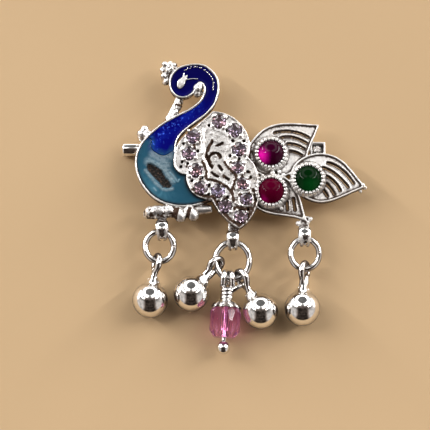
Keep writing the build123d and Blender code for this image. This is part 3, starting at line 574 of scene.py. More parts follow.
wingLook = {
    # raised lines of the vase and scrolls, mm
    "ridges": [
        [(-6.14, 10.86), (-5.6, 11.45), (-4.49, 11.46), (-3.29, 11.01), (-2.39, 10.26), (-2.24, 9.2),
         (-2.69, 7.86), (-2.84, 6.66)],
        [(-6.14, 10.86), (-5.9, 9.9), (-5.84, 9.36), (-6.3, 8.3), (-6.29, 6.9)],
        [(-4.9, 9.6), (-5.3, 8.7), (-5.75, 7.7), (-5.6, 6.85)],
        [(-4.9, 6.9), (-4.85, 7.35), (-4.4, 7.5), (-4.0, 7.3)],
        [(-4.45, 5.9), (-3.95, 5.2), (-3.3, 4.5), (-2.5, 3.6)]],
    "ridge": 0.11,
    # dark lines cut in the wing
    "grooves": [
        [(-6.215, 6.505), (-5.96, 6.025), (-5.645, 4.885), (-5.555, 3.895), (-4.58, 3.73), (-3.44, 3.25),
         (-2.45, 2.59), (-1.88, 1.78)],
        [(-2.945, 6.505), (-2.45, 5.695), (-1.64, 4.885), (-1.145, 4.225), (-1.55, 3.085), (-1.79, 2.095),
         (-1.55, 0.625)],
        [(-4.745, 9.775), (-5.225, 8.635), (-5.645, 7.66), (-5.48, 6.835), (-4.745, 5.86)],
        [(-5.06, 6.505), (-5.225, 7.165), (-4.745, 7.825), (-4.01, 7.735), (-3.59, 7.165)],
        [(-4.085, 8.965), (-3.6, 9.15), (-3.185, 9.295)], [(-3.845, 5.935), (-3.5, 5.6), (-3.275, 5.29)],
        [(-4.82, 4.885), (-4.4, 4.6), (-3.92, 4.39)], [(-3.02, 4.39), (-2.6, 4.05), (-2.285, 3.82)]],
    "pits": [
        (-1.55, 9.7), (-0.08, 9.61), (-2.12, 7.5), (-1.96, 6.43), (-0.74, 6.84), (0.82, 4.96), (0.9, 4.06),
        (-0.25, 4.3), (-6.53, 3.82), (-5.23, 2.83), (-5.32, 1.62), (-3.76, 0.55), (-2.78, 0.96),
        (-0.58, 1.62), (0.73, 1.69), (-1.39, -0.68), (0.57, -0.92), (-9.29, 6.5), (-9.44, 5.76),
        (-8.62, 5.76), (-7.42, 8.68)],
    "half": 0.22, "pit": 0.23,  # half width of a line and radius of a pit
    "left": -10.0, "right": 2.4, "depth": 0.75,  # where they lie, and how deep below the wing's top
    # dark line beside the wing's edge: from, to and top, and its distance from the cut lines
    "edgeFrom": 0.1, "edgeTo": 0.66, "edgeTop": 2.6, "edgeApart": 0.8,
}


def castLoops(level):
    return loopsAt("silver_casting", level)


def isSlit(loop):
    return abs(areaOf(loop)) / lengthOf(loop) < castLook["slitWidth"]


def wingOutlines():
    # The deep lines part the wing's top into fields, each with an outline of its own
    return [loop for loop in castLoops(levels["wing"]) if not isSlit(loop) and abs(areaOf(loop)) > 6]


def stoneNodes():
    return sorted(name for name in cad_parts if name.startswith("white_stone_"))


def prongs():
    # Four grains round each stone, left out where another stone or grain is near
    look = castLook
    centres = [centreOf(node)[:2] for node in stoneNodes()]
    spots = []
    for number, centre in enumerate(centres):
        for bearing in np.arange(45, 360, 90) + 9 * (number % 3 - 1):
            spot = centre + look["prongReach"] * np.array([cos(radians(bearing)), sin(radians(bearing))])
            others = [other for other in centres if other is not centre]
            gaps = [lengths(spot - np.array(rows)).min() if rows else 99 for rows in (others, spots)]
            if gaps[0] > look["prongGaps"][0] and gaps[1] > look["prongGaps"][1]:
                spots.append(spot)
    return [ball((*spot, levels["wing"] + look["prongRise"]), look["prong"]) for spot in spots]


def castAdditions():
    look = castLook
    solids = prongs()
    solids += [ball(spot, radius) for *spot, radius in look["crest"] + look["tips"] + look["solder"]]

    def wire(line, level, radius, closed=True, sides=8):
        solids.append(tube(atLevel(line, level), radius, sides, closed))

    rim = evenLoop(castLoops(levels["bird"])[0], look["wireSpacing"])
    wire(inward(rim, look["rimIn"]), levels["bird"] - 0.02, look["rimWire"])
    for loop in wingOutlines():
        wire(inward(evenLoop(loop, look["wireSpacing"]), look["wingIn"]), levels["wing"], look["wingWire"])
    for row in wingLook["ridges"]:
        line = smoothLine(row)
        taper = np.sin(np.linspace(0.25, pi - 0.25, len(line))) ** 0.5
        wire(line, levels["wing"] - 0.05, wingLook["ridge"] * taper, False)
    for level in (levels["leaf"], levels["frontLeaf"]):
        for loop in filter(isSlit, castLoops(level)):
            lip = inward(evenLoop(loop, look["lipSpacing"]), -look["lipStep"])
            wire(lip, level + 0.02, look["lipWire"])
    strut = smoothLine(look["strut"])
    wire(strut, look["strutLevel"], np.linspace(*look["strutRadii"], len(strut)), False, 12)
    for row, radius in look["eyeLines"]:
        wire(smoothLine(row), levels["bird"] + 0.02, radius, False)
    return solids


def meshedTogether(node, solids, grain, reshape=np.array):
    # One skin round a node and the solids added to it, from a voxel remesh
    keys, order, kept = {}, [], []
    for point in spotsOf(node):
        key = tuple(np.round(point * 10000).astype(int))
        if key not in keys:
            keys[key] = len(kept)
            kept.append(point)
        order.append(keys[key])
    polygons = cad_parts[node].data.polygons
    faces = [tuple(order[index] for index in polygon.vertices) for polygon in polygons]
    faces = [corners for corners in faces if len(set(corners)) == len(corners)]
    blank = objectFrom("blank", *joined([(reshape(kept), faces)] + solids))
    remesh = blank.modifiers.new("grow", "REMESH")
    remesh.mode = "VOXEL"
    remesh.voxel_size = grain
    result = bpy.data.meshes.new_from_object(blank.evaluated_get(bpy.context.evaluated_depsgraph_get()))
    rows = np.zeros(len(result.vertices) * 3)
    result.vertices.foreach_get("co", rows)
    quads = [tuple(polygon.vertices) for polygon in result.polygons]
    edges = np.array([tuple(edge.vertices) for edge in result.edges])
    bpy.data.objects.remove(blank)
    bpy.data.meshes.remove(result)
    return rows.reshape(-1, 3), quads, edges


def averaged(values, edges):
    # Mean of each point's neighbours
    total = np.zeros_like(values)
    number = np.zeros(len(values))
    for first, second in ((0, 1), (1, 0)):
        np.add.at(total, edges[:, first], values[edges[:, second]])
        np.add.at(number, edges[:, first], 1)
    number = np.maximum(number, 1)
    return total / (number[:, None] if values.ndim > 1 else number)


def softened(points, edges, passes):
    # Smoothed, with most of the shrinking taken back
    for number in range(passes):
        for step in (0.5, -0.26):
            points = points + step * (averaged(points, edges) - points)
    return points


def normalsOf(points, quads):
    corners = np.array([quad[:4] if len(quad) >= 4 else quad + quad[-1:] for quad in quads]).T
    first, second, third, fourth = points[corners]
    flat = np.cross(third - first, fourth - second)
    normals = np.zeros_like(points)
    for corner in corners:
        np.add.at(normals, corner, flat)
    return normals / np.maximum(lengths(normals), 1e-12)[:, None]


def recessOf(points, normals, edges, passes):
    # How far each point lies below its wider surroundings
    broad = points
    for number in range(passes):
        broad = averaged(broad, edges)
    depth = averaged(((broad - points) * normals).sum(axis=1), edges)
    return np.clip(depth / castLook["recessDepth"] + 0.15, 0, 1)


def noiseField(points, size, seed=0.0):
    return np.array([noise.noise(Vector((x / size + seed, y / size, z / size))) for x, y, z in points])


def cabochonSpots():
    # Middle of each cabochon and the height of its seat
    return [(*centreOf(node)[:2], boxOf(node)[0][2] - castLook["seatGap"]) for node in cabochonLooks]


def withoutBezels(points):
    # The collars are lowered here and modelled again with their teeth
    points = np.array(points)
    for x, y, seat in cabochonSpots():
        top = seat + castLook["collarLeft"]
        near = np.hypot(points[:, 0] - x, points[:, 1] - y) < castLook["collar"]
        points[near & (points[:, 2] > top), 2] = top
    return points


def nearLoop(points, loop, reach):
    # Points of the plane inside a loop or within reach of it
    low, top = loop.min(axis=0) - reach, loop.max(axis=0) + reach
    chosen = np.flatnonzero(np.all((points[:, :2] > low) & (points[:, :2] < top), axis=1))
    spots = points[chosen, :2]
    return chosen[insideOf(spots, loop) | (distanceTo(spots, loop, True) < reach)]


def slitShadeAndRimLines(points, marks):
    # Painted shade in and beside the slits of the wing and feathers, and the dark line inside each feather's
    # rim
    reaches = {"wing": (0.05, 0.75), "leaf": (0.18, 1.1), "frontLeaf": (0.18, 1.5)}  # reach of the painted shade beside and below, mm
    for name, (reach, depth) in reaches.items():
        level = levels[name]
        high = (points[:, 2] > level - depth) & (points[:, 2] < level + 0.2)
        for loop in filter(isSlit, castLoops(level)[1:]):
            chosen = nearLoop(points, loop, reach)
            marks[chosen[high[chosen]]] = 1.0
    for level in (levels["leaf"], levels["frontLeaf"]):
        chosen = np.flatnonzero(np.abs(points[:, 2] - level) < 0.2)
        for loop in castLoops(level):
            if not isSlit(loop):
                marks[chosen[distanceTo(points[chosen, :2], loop, True) < castLook["rimLine"]]] = 1.0


def wingMarks(points, marks):
    # The wing's cut lines, drilled pits and the dark line beside its edge
    look = wingLook
    x, y, z = points.T
    high = np.flatnonzero((z > levels["wing"] - look["depth"]) & (x > look["left"]) & (x < look["right"]))
    spots = points[high, :2]
    apart = np.min([distanceTo(spots, smoothLine(row)) for row in look["grooves"]], axis=0)
    marks[high[apart < look["half"]]] = 1.0
    for pit in look["pits"]:
        marks[high[lengths(spots - pit) < look["pit"]]] = 1.0
    away = np.min([distanceTo(spots, loop, True) for loop in wingOutlines()], axis=0)
    beside = (away > look["edgeFrom"]) & (away < look["edgeTo"])
    marks[high[beside & (spots[:, 1] < look["edgeTop"]) & (apart > look["edgeApart"])]] = 0.95


def twigMarks(points, marks):
    # Painted shade and dark reflections as strips on the claws, the dappled bark, and painted shade for the
    # hole in the twig's end
    look = castLook
    x, y, z = points.T
    lean = look["clawSlope"] * (y + 1.5)
    # painted shade and dark reflections on the claws
    for left, right, low, top in look["clawShades"]:
        marks[(x > left + lean) & (x < right + lean) & (y > low) & (y < top) & (z > look["clawFrom"])] = 0.95
    right, low, top = look["twig"]
    twig = (x < right) & (y < top) & (y > low)
    grain = noiseField(points[twig], 0.5, 4.0) + 0.4 * noiseField(points[twig], 0.2, 8.0)
    marks[twig] = np.maximum(marks[twig], np.clip(0.3 + 1.1 * grain - 0.35 * (y[twig] + 0.9), 0, 0.85))
    # painted shade standing in for the hole
    *eye, reach = look["twigEye"]
    marks[lengths(points - eye) < reach] = 1.0


def castBody():
    look = castLook
    points, quads, edges = meshedTogether("silver_casting", castAdditions(), look["grain"], withoutBezels)
    print("cast body grown:", len(quads), "faces")
    points = softened(points, edges, look["softening"])
    coarse, fine = look["wobbleSizes"]
    rough = noiseField(points, coarse) + 0.5 * noiseField(points, fine, 7.0)
    points = points + normalsOf(points, quads) * (rough * look["wobble"])[:, None]
    normals = normalsOf(points, quads)
    recess = recessOf(points, normals, edges, look["recessReach"])
    # painted shade on upright walls, by how far they turn from facing up
    paintedWallShade = (1 - np.abs(normals[:, 2])) ** 1.5 * look["wallShade"]
    paintedWallShade *= np.clip((points[:, 2] - look["wallFrom"]) / look["wallFade"], 0, 1)
    marks = np.zeros(len(points))
    for mark in (slitShadeAndRimLines, wingMarks, twigMarks):
        mark(points, marks)
    # darker and rougher towards the bottom of the wing and feathers
    worn = np.clip((look["dullBelow"] - points[:, 1]) / look["dullFade"], 0, 1) * look["dullShare"]
    recess = recess + worn * (points[:, 0] > look["dullFrom"])
    # tarnish in hollows, with painted shade on walls and in the marks
    recess = np.clip(np.maximum(recess, np.maximum(paintedWallShade, averaged(marks, edges))), 0, 1)
    across = points[[quad[0] for quad in quads], 0]
    wingRight = boxOf("ruby_cabochon_upper")[0][0] - look["feathersLeft"]
    groups = {
        "castWing": ((across < wingRight) & (across > look["birdRight"]), castSilver, ("silver_casting",)),
        "castBird": (across <= look["birdRight"], castSilver, ()),
        "castFeathers": (across >= wingRight, satinSilver, ()),
    }
    for name, (chosen, material, replaced) in groups.items():
        picked = [quads[index] for index in np.flatnonzero(chosen)]
        used = sorted({index for quad in picked for index in quad})
        place = {index: number for number, index in enumerate(used)}
        faces = [tuple(place[index] for index in quad) for quad in picked]
        pieceFrom(name, points[used], faces, material, replaced, {"recess": recess[used]})
    print("cast body done")


castBody()


# polished pieces

def polished(name, points, faces, replaced=(), recess=None):
    values = None if recess is None else {"recess": recess}
    pieceFrom(name, points, faces, brightSilver, replaced, values)


# catch tube: rows of radius and length from its open end, height of its axis, step past the casting
catchLook = {"rows": [(0.0, 0.0), (0.75, 0.0), (0.97, 0.06), (1.01, 0.2), (1.01, 4.2), (0.9, 4.3)],
             "height": 1.0, "out": 0.01}


def catchTube():
    points, faces = lathe(catchLook["rows"], 48)
    left = boxOf("silver_casting")[0][0] - catchLook["out"]
    stem = centreOf("pin_stem")[1]
    polished("catchTube", points[:, (2, 0, 1)] + (left, stem, catchLook["height"]), faces)


catchTube()


# bezels

bezelLook = {
    "teeth": 24, "stations": 14, "foot": 2.74, "crest": 2.22, "tip": 1.86, "height": 1.05, "gapHeight": 0.7,
    # painted shade between the teeth along the profile from foot to seat, and on the seat itself
    "gapShade": (0.0, 0.0, 0.0, 0.2, 0.35, 0.7, 1.0, 1.0, 1.0, 1.0), "seatShade": 0.9,
}


def bezelMesh(x, y, seat):
    # A ring of rounded teeth that lean over the stone, with deep gaps between them
    look = bezelLook
    foot, crest = look["foot"], look["crest"]
    count = look["teeth"] * look["stations"]
    rows = []
    recess = []
    for turn in turnsOf(count):
        swell = 0.5 - 0.5 * cos(look["teeth"] * turn)
        tooth = min(1.0, 1.3 * swell ** 0.5) * (1 + 0.06 * sin(5 * turn + seat) + 0.04 * sin(11 * turn))
        top = look["gapHeight"] + (look["height"] - look["gapHeight"]) * tooth
        profile = [
            (foot, -0.15), (foot - 0.02, 0.14), (foot - 0.12 * (1 - tooth) - 0.1, 0.36),
            (foot - 0.22 - 0.2 * (1 - tooth), 0.34 + 0.62 * (top - 0.34)), (crest + 0.14, top - 0.04),
            (crest - 0.02, top), (2.06 - 0.08 * tooth, top - 0.02),
            (2.02 - (2.02 - look["tip"]) * tooth, top - 0.14), (2.03 - 0.12 * tooth, top - 0.34), (2.0, 0.02),
        ]
        for index, ((radius, height), share) in enumerate(zip(profile, look["gapShade"])):
            rows.append((x + radius * cos(turn), y + radius * sin(turn), seat + height))
            # painted shade in the gaps between the teeth and on the seat
            recess.append(max((1 - min(tooth, 1.0)) * share, look["seatShade"] if index > 7 else 0.0))
    return np.array(rows), strips(count, len(profile), True, False, True), recess


for name, spot in zip(("bezelUpper", "bezelLower", "bezelGreen"), cabochonSpots()):
    points, faces, recess = bezelMesh(*spot)
    pieceFrom(name, points, faces, bezelSilver, (), {"recess": recess})


# enamel

glazeLook = {
    "grain": 0.09, "softening": 3,
    # heights, mm
    "ripple": 0.012, "edgeRise": 0.03, "crustRise": 0.03, "curlRise": 0.07, "lip": 0.03,
    "pitDepth": 0.3, "pitRough": 0.16,
    # how far each effect reaches beside its line, mm
    "riseReach": 0.45, "glowReach": 1.5, "crustReach": 1.05, "lipReach": 0.42, "curlReach": 0.24,
    "seamReach": 1.1, "seamWander": 0.35, "edgeReach": 0.55, "paleReach": 4.5, "chipFray": 0.16,
    "chipEdge": 0.2,
    "edgeTop": 8.0, "edgeFade": 4.0,  # the painted edge shade ends here, over this height
    # painted bright blue glints lie along this line, mm
    "glow": [(-13.79, 8.6), (-13.34, 9.65), (-12.59, 10.55), (-11.69, 11.45), (-10.34, 12.5),
             (-8.69, 13.85), (-7.04, 15.5)],
    # whitish crust beside the chip and under the colour change
    "crust": [[(-13.6, 7.75), (-12.9, 7.3), (-12.2, 6.9), (-11.6, 6.2)],
              [(-14.25, 6.65), (-13.2, 6.35), (-12.1, 5.75), (-11.4, 4.85), (-10.8, 3.9)],
              [(-13.0, 7.9), (-11.9, 7.6), (-11.0, 7.5)]],
    "paleSpot": (-14.0, 1.8),
    "lipLine": [(-14.75, 5.3), (-13.8, 4.1), (-12.95, 3.1), (-11.9, 2.4), (-10.75, 2.5)],
    "curls": [[(-11.1, 5.0), (-10.5, 4.35), (-10.0, 3.6), (-9.7, 3.9)], [(-10.9, 4.0), (-10.4, 3.5)],
              [(-13.5, 2.6), (-13.2, 2.2)]],
    "chip": [(-14.47, 6.36), (-13.87, 6.36), (-13.12, 5.91), (-12.29, 5.31), (-11.69, 4.26), (-11.09, 3.51),
             (-10.79, 2.91), (-11.24, 2.61), (-12.14, 2.76), (-12.89, 3.66), (-13.64, 4.41), (-14.39, 5.16),
             (-14.62, 5.76)],
}


def glazeOutline(node):
    return max(loopsAt(node, boxOf(node)[1][2], 0.01), key=lengthOf)


def glazeBody(node, other, name, material):
    # The enamel with its uneven surface, its raised edge, and the crust and chip of the teal part
    look = glazeLook
    points, quads, edges = meshedTogether(node, [], look["grain"])
    points = softened(points, edges, look["softening"])
    low, high = boxOf(node)
    spots = points[:, :2]
    border = distanceTo(spots, glazeOutline(node), True)
    ripple = noiseField(atLevel(spots, 0.0), 0.8, 3.0)
    fine = noiseField(atLevel(spots, 0.0), 0.22, 9.0)
    crust = pit = np.zeros(len(points))
    level = high[2] + look["ripple"] * ripple + look["edgeRise"] * fadeOf(border, look["riseReach"])
    if node == "blue_enamel":
        # where the painted glints lie on the blue
        glow = nearAny(spots, [look["glow"]], look["glowReach"])
    else:
        crust = nearAny(spots, look["crust"], look["crustReach"])
        lip = nearAny(spots, [look["lipLine"]], look["lipReach"])
        curl = nearAny(spots, look["curls"], look["curlReach"])
        chip = np.array(look["chip"])
        edge = distanceTo(spots, chip, True) + look["chipFray"] * fine
        pit = np.clip(0.45 + edge * np.where(insideOf(spots, chip), 1, -1) / look["chipEdge"], 0, 1)
        level += look["crustRise"] * crust * (0.5 + fine) + look["lip"] * lip + look["curlRise"] * curl
        level -= pit * (look["pitDepth"] - look["pitRough"] * fine)
        crust = np.maximum(np.maximum(crust * 0.75, lip * 0.7), curl * 0.4)
        pale = fadeOf(lengths(spots - look["paleSpot"]), look["paleReach"])
        glow = np.maximum(curl * 0.8, pale * 0.5)
    surface = (points[:, 2] > low[2] + 0.4) & ((border > 0.12) | (points[:, 2] > high[2] - 0.1))
    points[surface, 2] = level[surface]
    seam = distanceTo(spots, glazeOutline(other), True) + look["seamWander"] * ripple
    # painted shade along the border, fading out higher up
    below = np.clip((look["edgeTop"] - spots[:, 1]) / look["edgeFade"], 0, 1)
    pieceFrom(name, points, quads, material, (node,), {
        "glow": glow, "crust": crust, "pit": pit, "blend": fadeOf(seam, look["seamReach"]),
        "edgeDark": fadeOf(border, look["edgeReach"]) * below})


glazeBody("blue_enamel", "teal_enamel", "blueGlaze", blueEnamelMaterial())
glazeBody("teal_enamel", "blue_enamel", "tealGlaze", tealEnamelMaterial())

# bright flecks of silver along the inner side of the head's rim, mm
fleckLook = {"line": [(-8.99, 20.7), (-7.34, 21.25), (-5.84, 20.65), (-4.75, 19.4), (-4.6, 17.6)],
             "spacing": 0.27, "height": 3.79, "scatter": 0.07, "least": 0.07, "more": 0.06}


def rimFlecks():
    look = fleckLook
    flecks = []
    for number, (x, y) in enumerate(smoothLine(look["line"], look["spacing"])):
        shift = look["scatter"] * sin(number * 2.7)
        radius = look["least"] + look["more"] * abs(sin(number * 1.9))
        flecks.append(ball((x + shift, y - shift, look["height"]), radius, 4))
    polished("rimFlecks", *joined(flecks))


rimFlecks()
print("enamel done")


# stones, crystal and stem keep their CAD meshes

def dressNode(node, material):
    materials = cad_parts[node].data.materials
    materials.clear()
    materials.append(material)


whiteStone = whiteStoneMaterial()
for node in stoneNodes():
    dressNode(node, whiteStone)
for node in cabochonLooks:
    dressNode(node, cabochonMaterial(node))
dressNode("crystal_bead", crystalMaterial())
dressNode("pin_stem", brightSilver)
print("stones done")


# strip loops (bails) and jump rings

bailLook = {
    "outer": 1.62, "edge": 1.36, "inner": 1.2, "half": 0.97, "endHalf": 0.62, "rise": 0.2,
    # steps from a ring's centre to its loop's centre, mm
    "steps": {"jump_ring_left": (0.37, 2.425), "jump_ring_middle": (0.05, 3.075),
              "jump_ring_right": (-0.05, 2.575)},
}
# flank, flankFade and shade set the painted shade on the wires' sides
ringLook = {"wire": 0.45, "solidWire": 0.375, "stations": 120, "uneven": 0.05, "sway": 0.05,
            "flank": 0.8, "flankFade": 0.3, "shade": 0.85}


def bailMesh(x, y, z):
    # A polished domed strip bent into a loop, narrower at its lower end
    look = bailLook
    edge, inner = look["edge"], look["inner"]
    dome = look["outer"] - edge
    section = [(side, edge + dome * (1 - side ** 2) ** 0.8) for side in np.linspace(-1, 1, 10)]
    section += [(1.0, edge - 0.08), (0.96, inner), (-0.96, inner), (-1.0, edge - 0.08)]
    rows = []
    spans = 64
    for turn in turnsOf(spans):
        onward, up = cos(turn), sin(turn)
        half = look["endHalf"] + (look["half"] - look["endHalf"]) * min((onward + 1) / 1.3, 1)
        rows += [(x + side * half, y + radius * onward, z + radius * up) for side, radius in section]
    return np.array(rows), strips(spans, len(section))


def paintedFlankShade(points, faces, share=1.0):
    # Painted shade and dark table reflection on the sides and under the turned wires
    normals = normalsOf(np.asarray(points), faces)
    side = np.clip((ringLook["flank"] - np.abs(normals[:, 2])) / ringLook["flankFade"], 0, 1)
    return side * ringLook["shade"] * share


def ringAndBail(node, stepX, stepY):
    look = ringLook
    low, high = boxOf(node)
    x, y, z = (low + high) / 2
    halfX, halfY = (high - low)[:2] / 2 - look["solidWire"]
    turns = turnsOf(look["stations"])
    wobble = 1 + look["uneven"] * np.sin(3 * turns + x) * np.sin(5 * turns)
    path = np.column_stack([x + halfX * np.cos(turns), y + halfY * np.sin(turns),
                            z + look["sway"] * np.sin(2 * turns)])
    points, faces = tube(path, look["wire"] * wobble, 20, True)
    polished(node.replace("_", ""), points, faces, (node,), paintedFlankShade(points, faces))
    polished(node.replace("jump_ring_", "bail"), *bailMesh(x + stepX, y + stepY, z + bailLook["rise"]))


for node, step in bailLook["steps"].items():
    ringAndBail(node, *step)


# drops, modelled along X and then placed

def placed(points, origin, way, twist=0.0):
    # From the drop's own axes (X along it, Z up) to the frame
    x, y, z = np.asarray(points, float).T
    turn = radians(twist)
    y, z = y * cos(turn) - z * sin(turn), y * sin(turn) + z * cos(turn)
    side = np.array([-way[1], way[0], 0.0])
    return origin + np.outer(x, way) + np.outer(y, side) + np.outer(z, (0.0, 0.0, 1.0))


def wayTo(start, end):
    way = (end - start) * (1, 1, 0)
    return way / np.linalg.norm(way)


dropLook = {
    "radius": 2.65, "reach": 5.65, "loop": 1.12, "loopHalf": 152, "wire": 0.46,
    # the next two set the painted shade on the ball's lower rim: below which share of its radius, and how
    # dark
    "rimHeight": 0.85, "rimShade": 0.72,
    # collar of solder (distance along the drop, radius) and one cut end of its wire
    "neck": [(2.1, 1.6), (2.35, 1.35), (2.6, 1.18), (2.9, 1.0), (3.2, 0.8), (3.5, 0.6), (4.0, 0.5),
             (4.6, 0.3)],
    "tail": [[3.3, -0.2, -0.2], [3.8, -0.17, -0.3], [4.3, -0.14, -0.42]],
    "lumps": 9,
    # twist of each eyelet about its drop, degrees
    "twists": {"ball_drop_left": 24, "ball_drop_mid_left": -30, "ball_drop_mid_right": 32,
               "ball_drop_right": -22},
}


def eyelet():
    # A wire bent into an open loop whose two ends run into the collar
    look = dropLook
    turns = radians(look["loopHalf"]) * np.linspace(-1, 1, 44)
    loop = np.column_stack([look["reach"] + look["loop"] * np.cos(turns), 0.1 * np.sin(turns * 0.5),
                            look["loop"] * np.sin(turns)])
    tail = np.array(look["tail"])
    path = smoothLine(np.vstack([tail, loop[::4], tail[::-1] * (1, -1, -1)]), 0.1)
    return tube(path, look["wire"] * (1 + 0.1 * np.sin(np.linspace(0, 19, len(path)))), 14)


def ballDrop(node, twist):
    look = dropLook
    spots = spotsOf(node)
    top = spots[spots[:, 2] > spots[:, 2].max() - 0.08]
    centre = np.array([*top[:, :2].mean(axis=0), look["radius"]])
    way = wayTo(centre, spots[lengths(spots - centre) > look["radius"] + 2.2].mean(axis=0))
    collar, collarFaces = lathe([(radius, along) for along, radius in look["neck"]], 28)
    solids = [ball((0, 0, 0), look["radius"], 40), (collar[:, (2, 0, 1)], collarFaces)]
    for number in range(look["lumps"]):
        turn, step = number * 2.4, number % 5
        out = 0.98 - 0.1 * step
        spot = (2.55 + 0.13 * step, out * cos(turn), out * sin(turn))
        solids.append(ball(spot, 0.22 + 0.05 * (number % 3)))
    solids = [(placed(points, centre, way), faces) for points, faces in solids]
    # painted shade and dark table reflection towards the ball's lower rim
    up = (solids[0][0][:, 2] - centre[2]) / look["radius"]
    rim = np.clip((look["rimHeight"] - up) / look["rimHeight"], 0, 1) * look["rimShade"]
    rest = np.zeros(sum(len(points) for points, faces in solids[1:]))
    wire, wireFaces = eyelet()
    wire = placed(wire, centre, way, twist)
    polished(node.replace("_", ""), *joined(solids + [(wire, wireFaces)]), (node,),
             np.concatenate([rim, rest, paintedFlankShade(wire, wireFaces)]))


for node, twist in dropLook["twists"].items():
    ballDrop(node, twist)


crystalLook = {
    "wire": 0.4, "loopRadius": 1.165, "loopGap": 0.52,
    "twists": {-1: 9, 1: -7},  # the loop on either side and its twist in degrees
    "coil": 0.62, "coilStart": 1.5, "pitch": 0.56, "turns": 3.2, "reach": 10.2, "endBall": 1.0,
    # cut end of the wire and its straight part through cap and bead, with their share of its radius
    "cutEnd": ([(1.9, 0.5, 0.3), (1.5, 0.95, 0.5), (1.15, 1.5, 0.6), (0.85, 2.0, 0.5)], 0.9),
    "stem": ([(1.1, 0, 0), (4.0, 0, 0), (9.0, 0, 0), (10.0, 0, 0)], 0.92),
    # cap: where it starts, its flutes, and its profile (distance along, radius, depth of flute)
    "capStart": 3.01, "flutes": 10, "stations": 16,
    "cap": [(0.05, 0.45, 0), (0.0, 0.9, 0), (0.12, 1.15, 0.05), (0.4, 1.6, 0.14), (0.75, 2.0, 0.2),
            (1.05, 2.2, 0.26), (1.38, 2.33, 0.32), (1.36, 2.18, 0.32), (1.0, 2.02, 0.2)],
}


def headWire(origin, way):
    # Double loop, wound wire and end ball
    look = crystalLook
    radius = look["wire"]
    solids = []
    turns = turnsOf(60)
    ahead, up = np.cos(turns), np.sin(turns)
    for side, twist in look["twists"].items():
        spread = side * look["loopGap"] * (1 + 0.25 * ahead)
        loop = np.column_stack([look["loopRadius"] * ahead, spread, look["loopRadius"] * up])
        wire, faces = tube(loop, radius * (1 + 0.06 * np.sin(4 * turns)), 14, True)
        solids.append((placed(wire, origin, way, twist), faces))
    turns = np.linspace(0, 2 * pi * look["turns"], 110)
    start = look["coilStart"] + look["pitch"] * turns / (2 * pi)
    coil = np.column_stack([start, look["coil"] * np.cos(turns), look["coil"] * np.sin(turns)])
    cutEnd, cutShare = look["cutEnd"]
    stem, stemShare = look["stem"]
    straight = [tube(coil, radius, 14), tube(smoothLine(cutEnd), radius * cutShare, 14),
                tube(stem, radius * stemShare, 14), ball((look["reach"], 0, 0), look["endBall"], 24)]
    solids += [(placed(points, origin, way), faces) for points, faces in straight]
    points, faces = joined(solids)
    polished("headWire", points, faces, ("head_pin",), paintedFlankShade(points, faces, 0.45))


def flutedCap(origin, way):
    look = crystalLook
    rows = []
    recess = []
    count = look["flutes"] * look["stations"]
    for turn in turnsOf(count):
        swell = 0.5 + 0.5 * cos(look["flutes"] * turn)
        ridge = swell ** 0.5 * (1 + 0.2 * sin(3 * turn + 1))
        for along, radius, flute in look["cap"]:
            out = radius - flute * (1 - ridge)
            along = look["capStart"] + along - 0.5 * flute * (1 - ridge)
            rows.append((along, out * cos(turn), out * sin(turn)))
            recess.append((1 - swell) * min(1.0, flute * 4))
    faces = strips(count, len(look["cap"]), True, False)
    polished("flutedCap", placed(rows, origin, way), faces, ("bead_cap",), recess)


def crystalDrop():
    look = crystalLook
    bead = centreOf("crystal_bead")
    low = boxOf("head_pin")[0][1]
    spots = spotsOf("head_pin")
    end = spots[spots[:, 1] < low + 2 * look["endBall"] - 0.2, 0]
    end = np.array([(end.min() + end.max()) / 2, low + look["endBall"], bead[2]])
    way = wayTo(bead, end)
    headWire(end - way * look["reach"], way)
    flutedCap(end - way * look["reach"], way)


crystalDrop()
print("rings and drops done")


# table, light and camera

stageLook = {
    "tilt": 9.0,  # camera leans towards the drops, degrees from straight down
    "distance": 260.0, "frameWidth": 64.5, "target": (-4.34, -1.28, 2.6), "film": 36.0,
    "tableHalf": 900.0, "tableDrop": 0.02,
    # the light's forms are cones in degrees: inside the first number full, outside the second gone
    "lamp": 51.0,  # middle of the ring lamp, from straight up towards the crest
    "lampOuter": (41, 45), "lampInner": (25, 29), "lampPower": 2.8,
    "gapAt": 13.0, "gap": (8, 15),  # opening in the ring lamp
    "coreOuter": (55.3, 56.7), "coreInner": (52.9, 54.3), "corePower": 46.0,  # thin bright arcs
    "arms": (0.55, 0.6), "armsNear": (-0.5, -0.3),  # how far aside and how near the arcs start
    "sky": 0.74, "hole": 0.3, "halo": (68, 78), "haloShare": 0.55,
    "windows": ((0.93, 0.36, 0.04), (-0.93, 0.36, 0.04)), "window": (10, 22), "windowPower": 1.6,
    "shade": 8.0, "shadeFrom": -0.3, "shadeTo": 0.24,  # the side towards the drops is dark
    "dark": 0.03, "sideFrom": 0.42, "sideTo": 0.72, "sideShare": 0.8,  # and opens again to left and right
    "shadeColour": (1.0, 0.75, 0.62), "lightColour": (1.0, 0.985, 0.965),
}


def table():
    half = stageLook["tableHalf"]
    corners = np.array([(-half, -half), (half, -half), (half, half), (-half, half)])
    piece = objectFrom("table", atLevel(corners, -stageLook["tableDrop"]) * mm, [(0, 1, 2, 3)])
    piece.data.materials.append(tableMaterial())


def tilted(degrees):
    # Straight up, turned towards the crest
    return 0.0, sin(radians(degrees)), cos(radians(degrees))


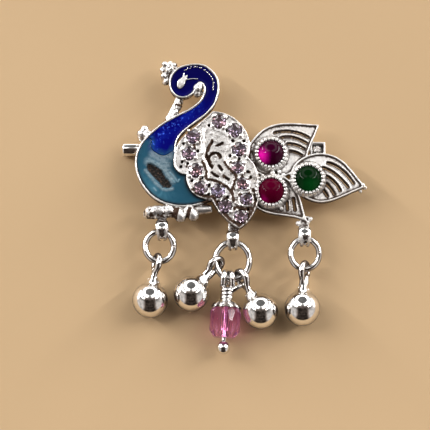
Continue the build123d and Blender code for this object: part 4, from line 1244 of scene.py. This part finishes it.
def light():
    look = stageLook
    world = bpy.data.worlds.new("softStudio")
    world.use_nodes = True
    back = world.node_tree.nodes["Background"]
    way = newNode(back, "TexCoord").outputs["Generated"]

    def along(direction):
        node = newNode(way, "VectorMath")
        node.operation = "DOT_PRODUCT"
        return fill(node, {0: way, 1: direction}).outputs["Value"]

    def within(direction, cone):
        inner, outer = cone
        return rangeOf(along(direction), cos(radians(outer)), cos(radians(inner)))

    lamp = tilted(look["lamp"])
    streaks = noiseOf(way, 5.0, 3.0, 0.6)
    patches = noiseOf(way, 2.2, 3.0, 0.6)
    aside = mathOf("ABSOLUTE", along((1.0, 0.0, 0.0)), 0.0)
    edge = plus(along(tilted(90 + look["shade"])), times(minus(streaks, 0.5), 0.5))
    sideways = times(rangeOf(aside, look["sideFrom"], look["sideTo"]), look["sideShare"])
    clear = mathOf("MAXIMUM", rangeOf(edge, look["shadeFrom"], look["shadeTo"]), sideways)
    hole = within(lamp, look["lampInner"])
    ring = times(within(lamp, look["lampOuter"]), minus(1.0, hole))
    ring = times(ring, minus(1.0, within(tilted(look["gapAt"]), look["gap"])))
    core = minus(within(lamp, look["coreOuter"]), within(lamp, look["coreInner"]), True)
    near = rangeOf(along(tilted(look["lamp"] - 90)), *look["armsNear"])
    core = times(core, times(near, rangeOf(aside, *look["arms"])))
    sky = times(rangeOf(patches, 0.3, 0.7, 0.45, 1.2), look["sky"])
    sky = times(sky, rangeOf(hole, 0.0, 1.0, 1.0, look["hole"]))
    sky = times(sky, rangeOf(within(lamp, look["halo"]), 0.0, 1.0, 1.0, look["haloShare"]))
    left, right = [within(window, look["window"]) for window in look["windows"]]
    total = plus(sky, times(ring, look["lampPower"]))
    total = plus(total, times(core, look["corePower"]))
    total = plus(total, times(plus(left, right), look["windowPower"]))
    gloom = times(rangeOf(streaks, 0.35, 0.7, 0.35, 2.2), look["dark"])
    fill(back, {"Color": mixColour(clear, look["shadeColour"], look["lightColour"]),
                "Strength": plus(times(total, clear), gloom)})
    bpy.context.scene.world = world


def cameraAt():
    look = stageLook
    camera = bpy.data.cameras.new("camera")
    camera.sensor_width = look["film"]
    camera.lens = look["film"] * look["distance"] / look["frameWidth"]
    camera.clip_start = 0.01
    holder = bpy.data.objects.new("camera", camera)
    tilt = radians(look["tilt"])
    x, y, z = look["target"]
    spot = np.array((x, y - look["distance"] * sin(tilt), z + look["distance"] * cos(tilt))) * mm
    holder.location = tuple(spot)
    holder.rotation_euler = (tilt, 0.0, 0.0)
    bpy.context.scene.collection.objects.link(holder)
    bpy.context.scene.camera = holder


table()
light()
cameraAt()
bpy.context.scene.view_settings.view_transform = "Standard"
print("stage set")
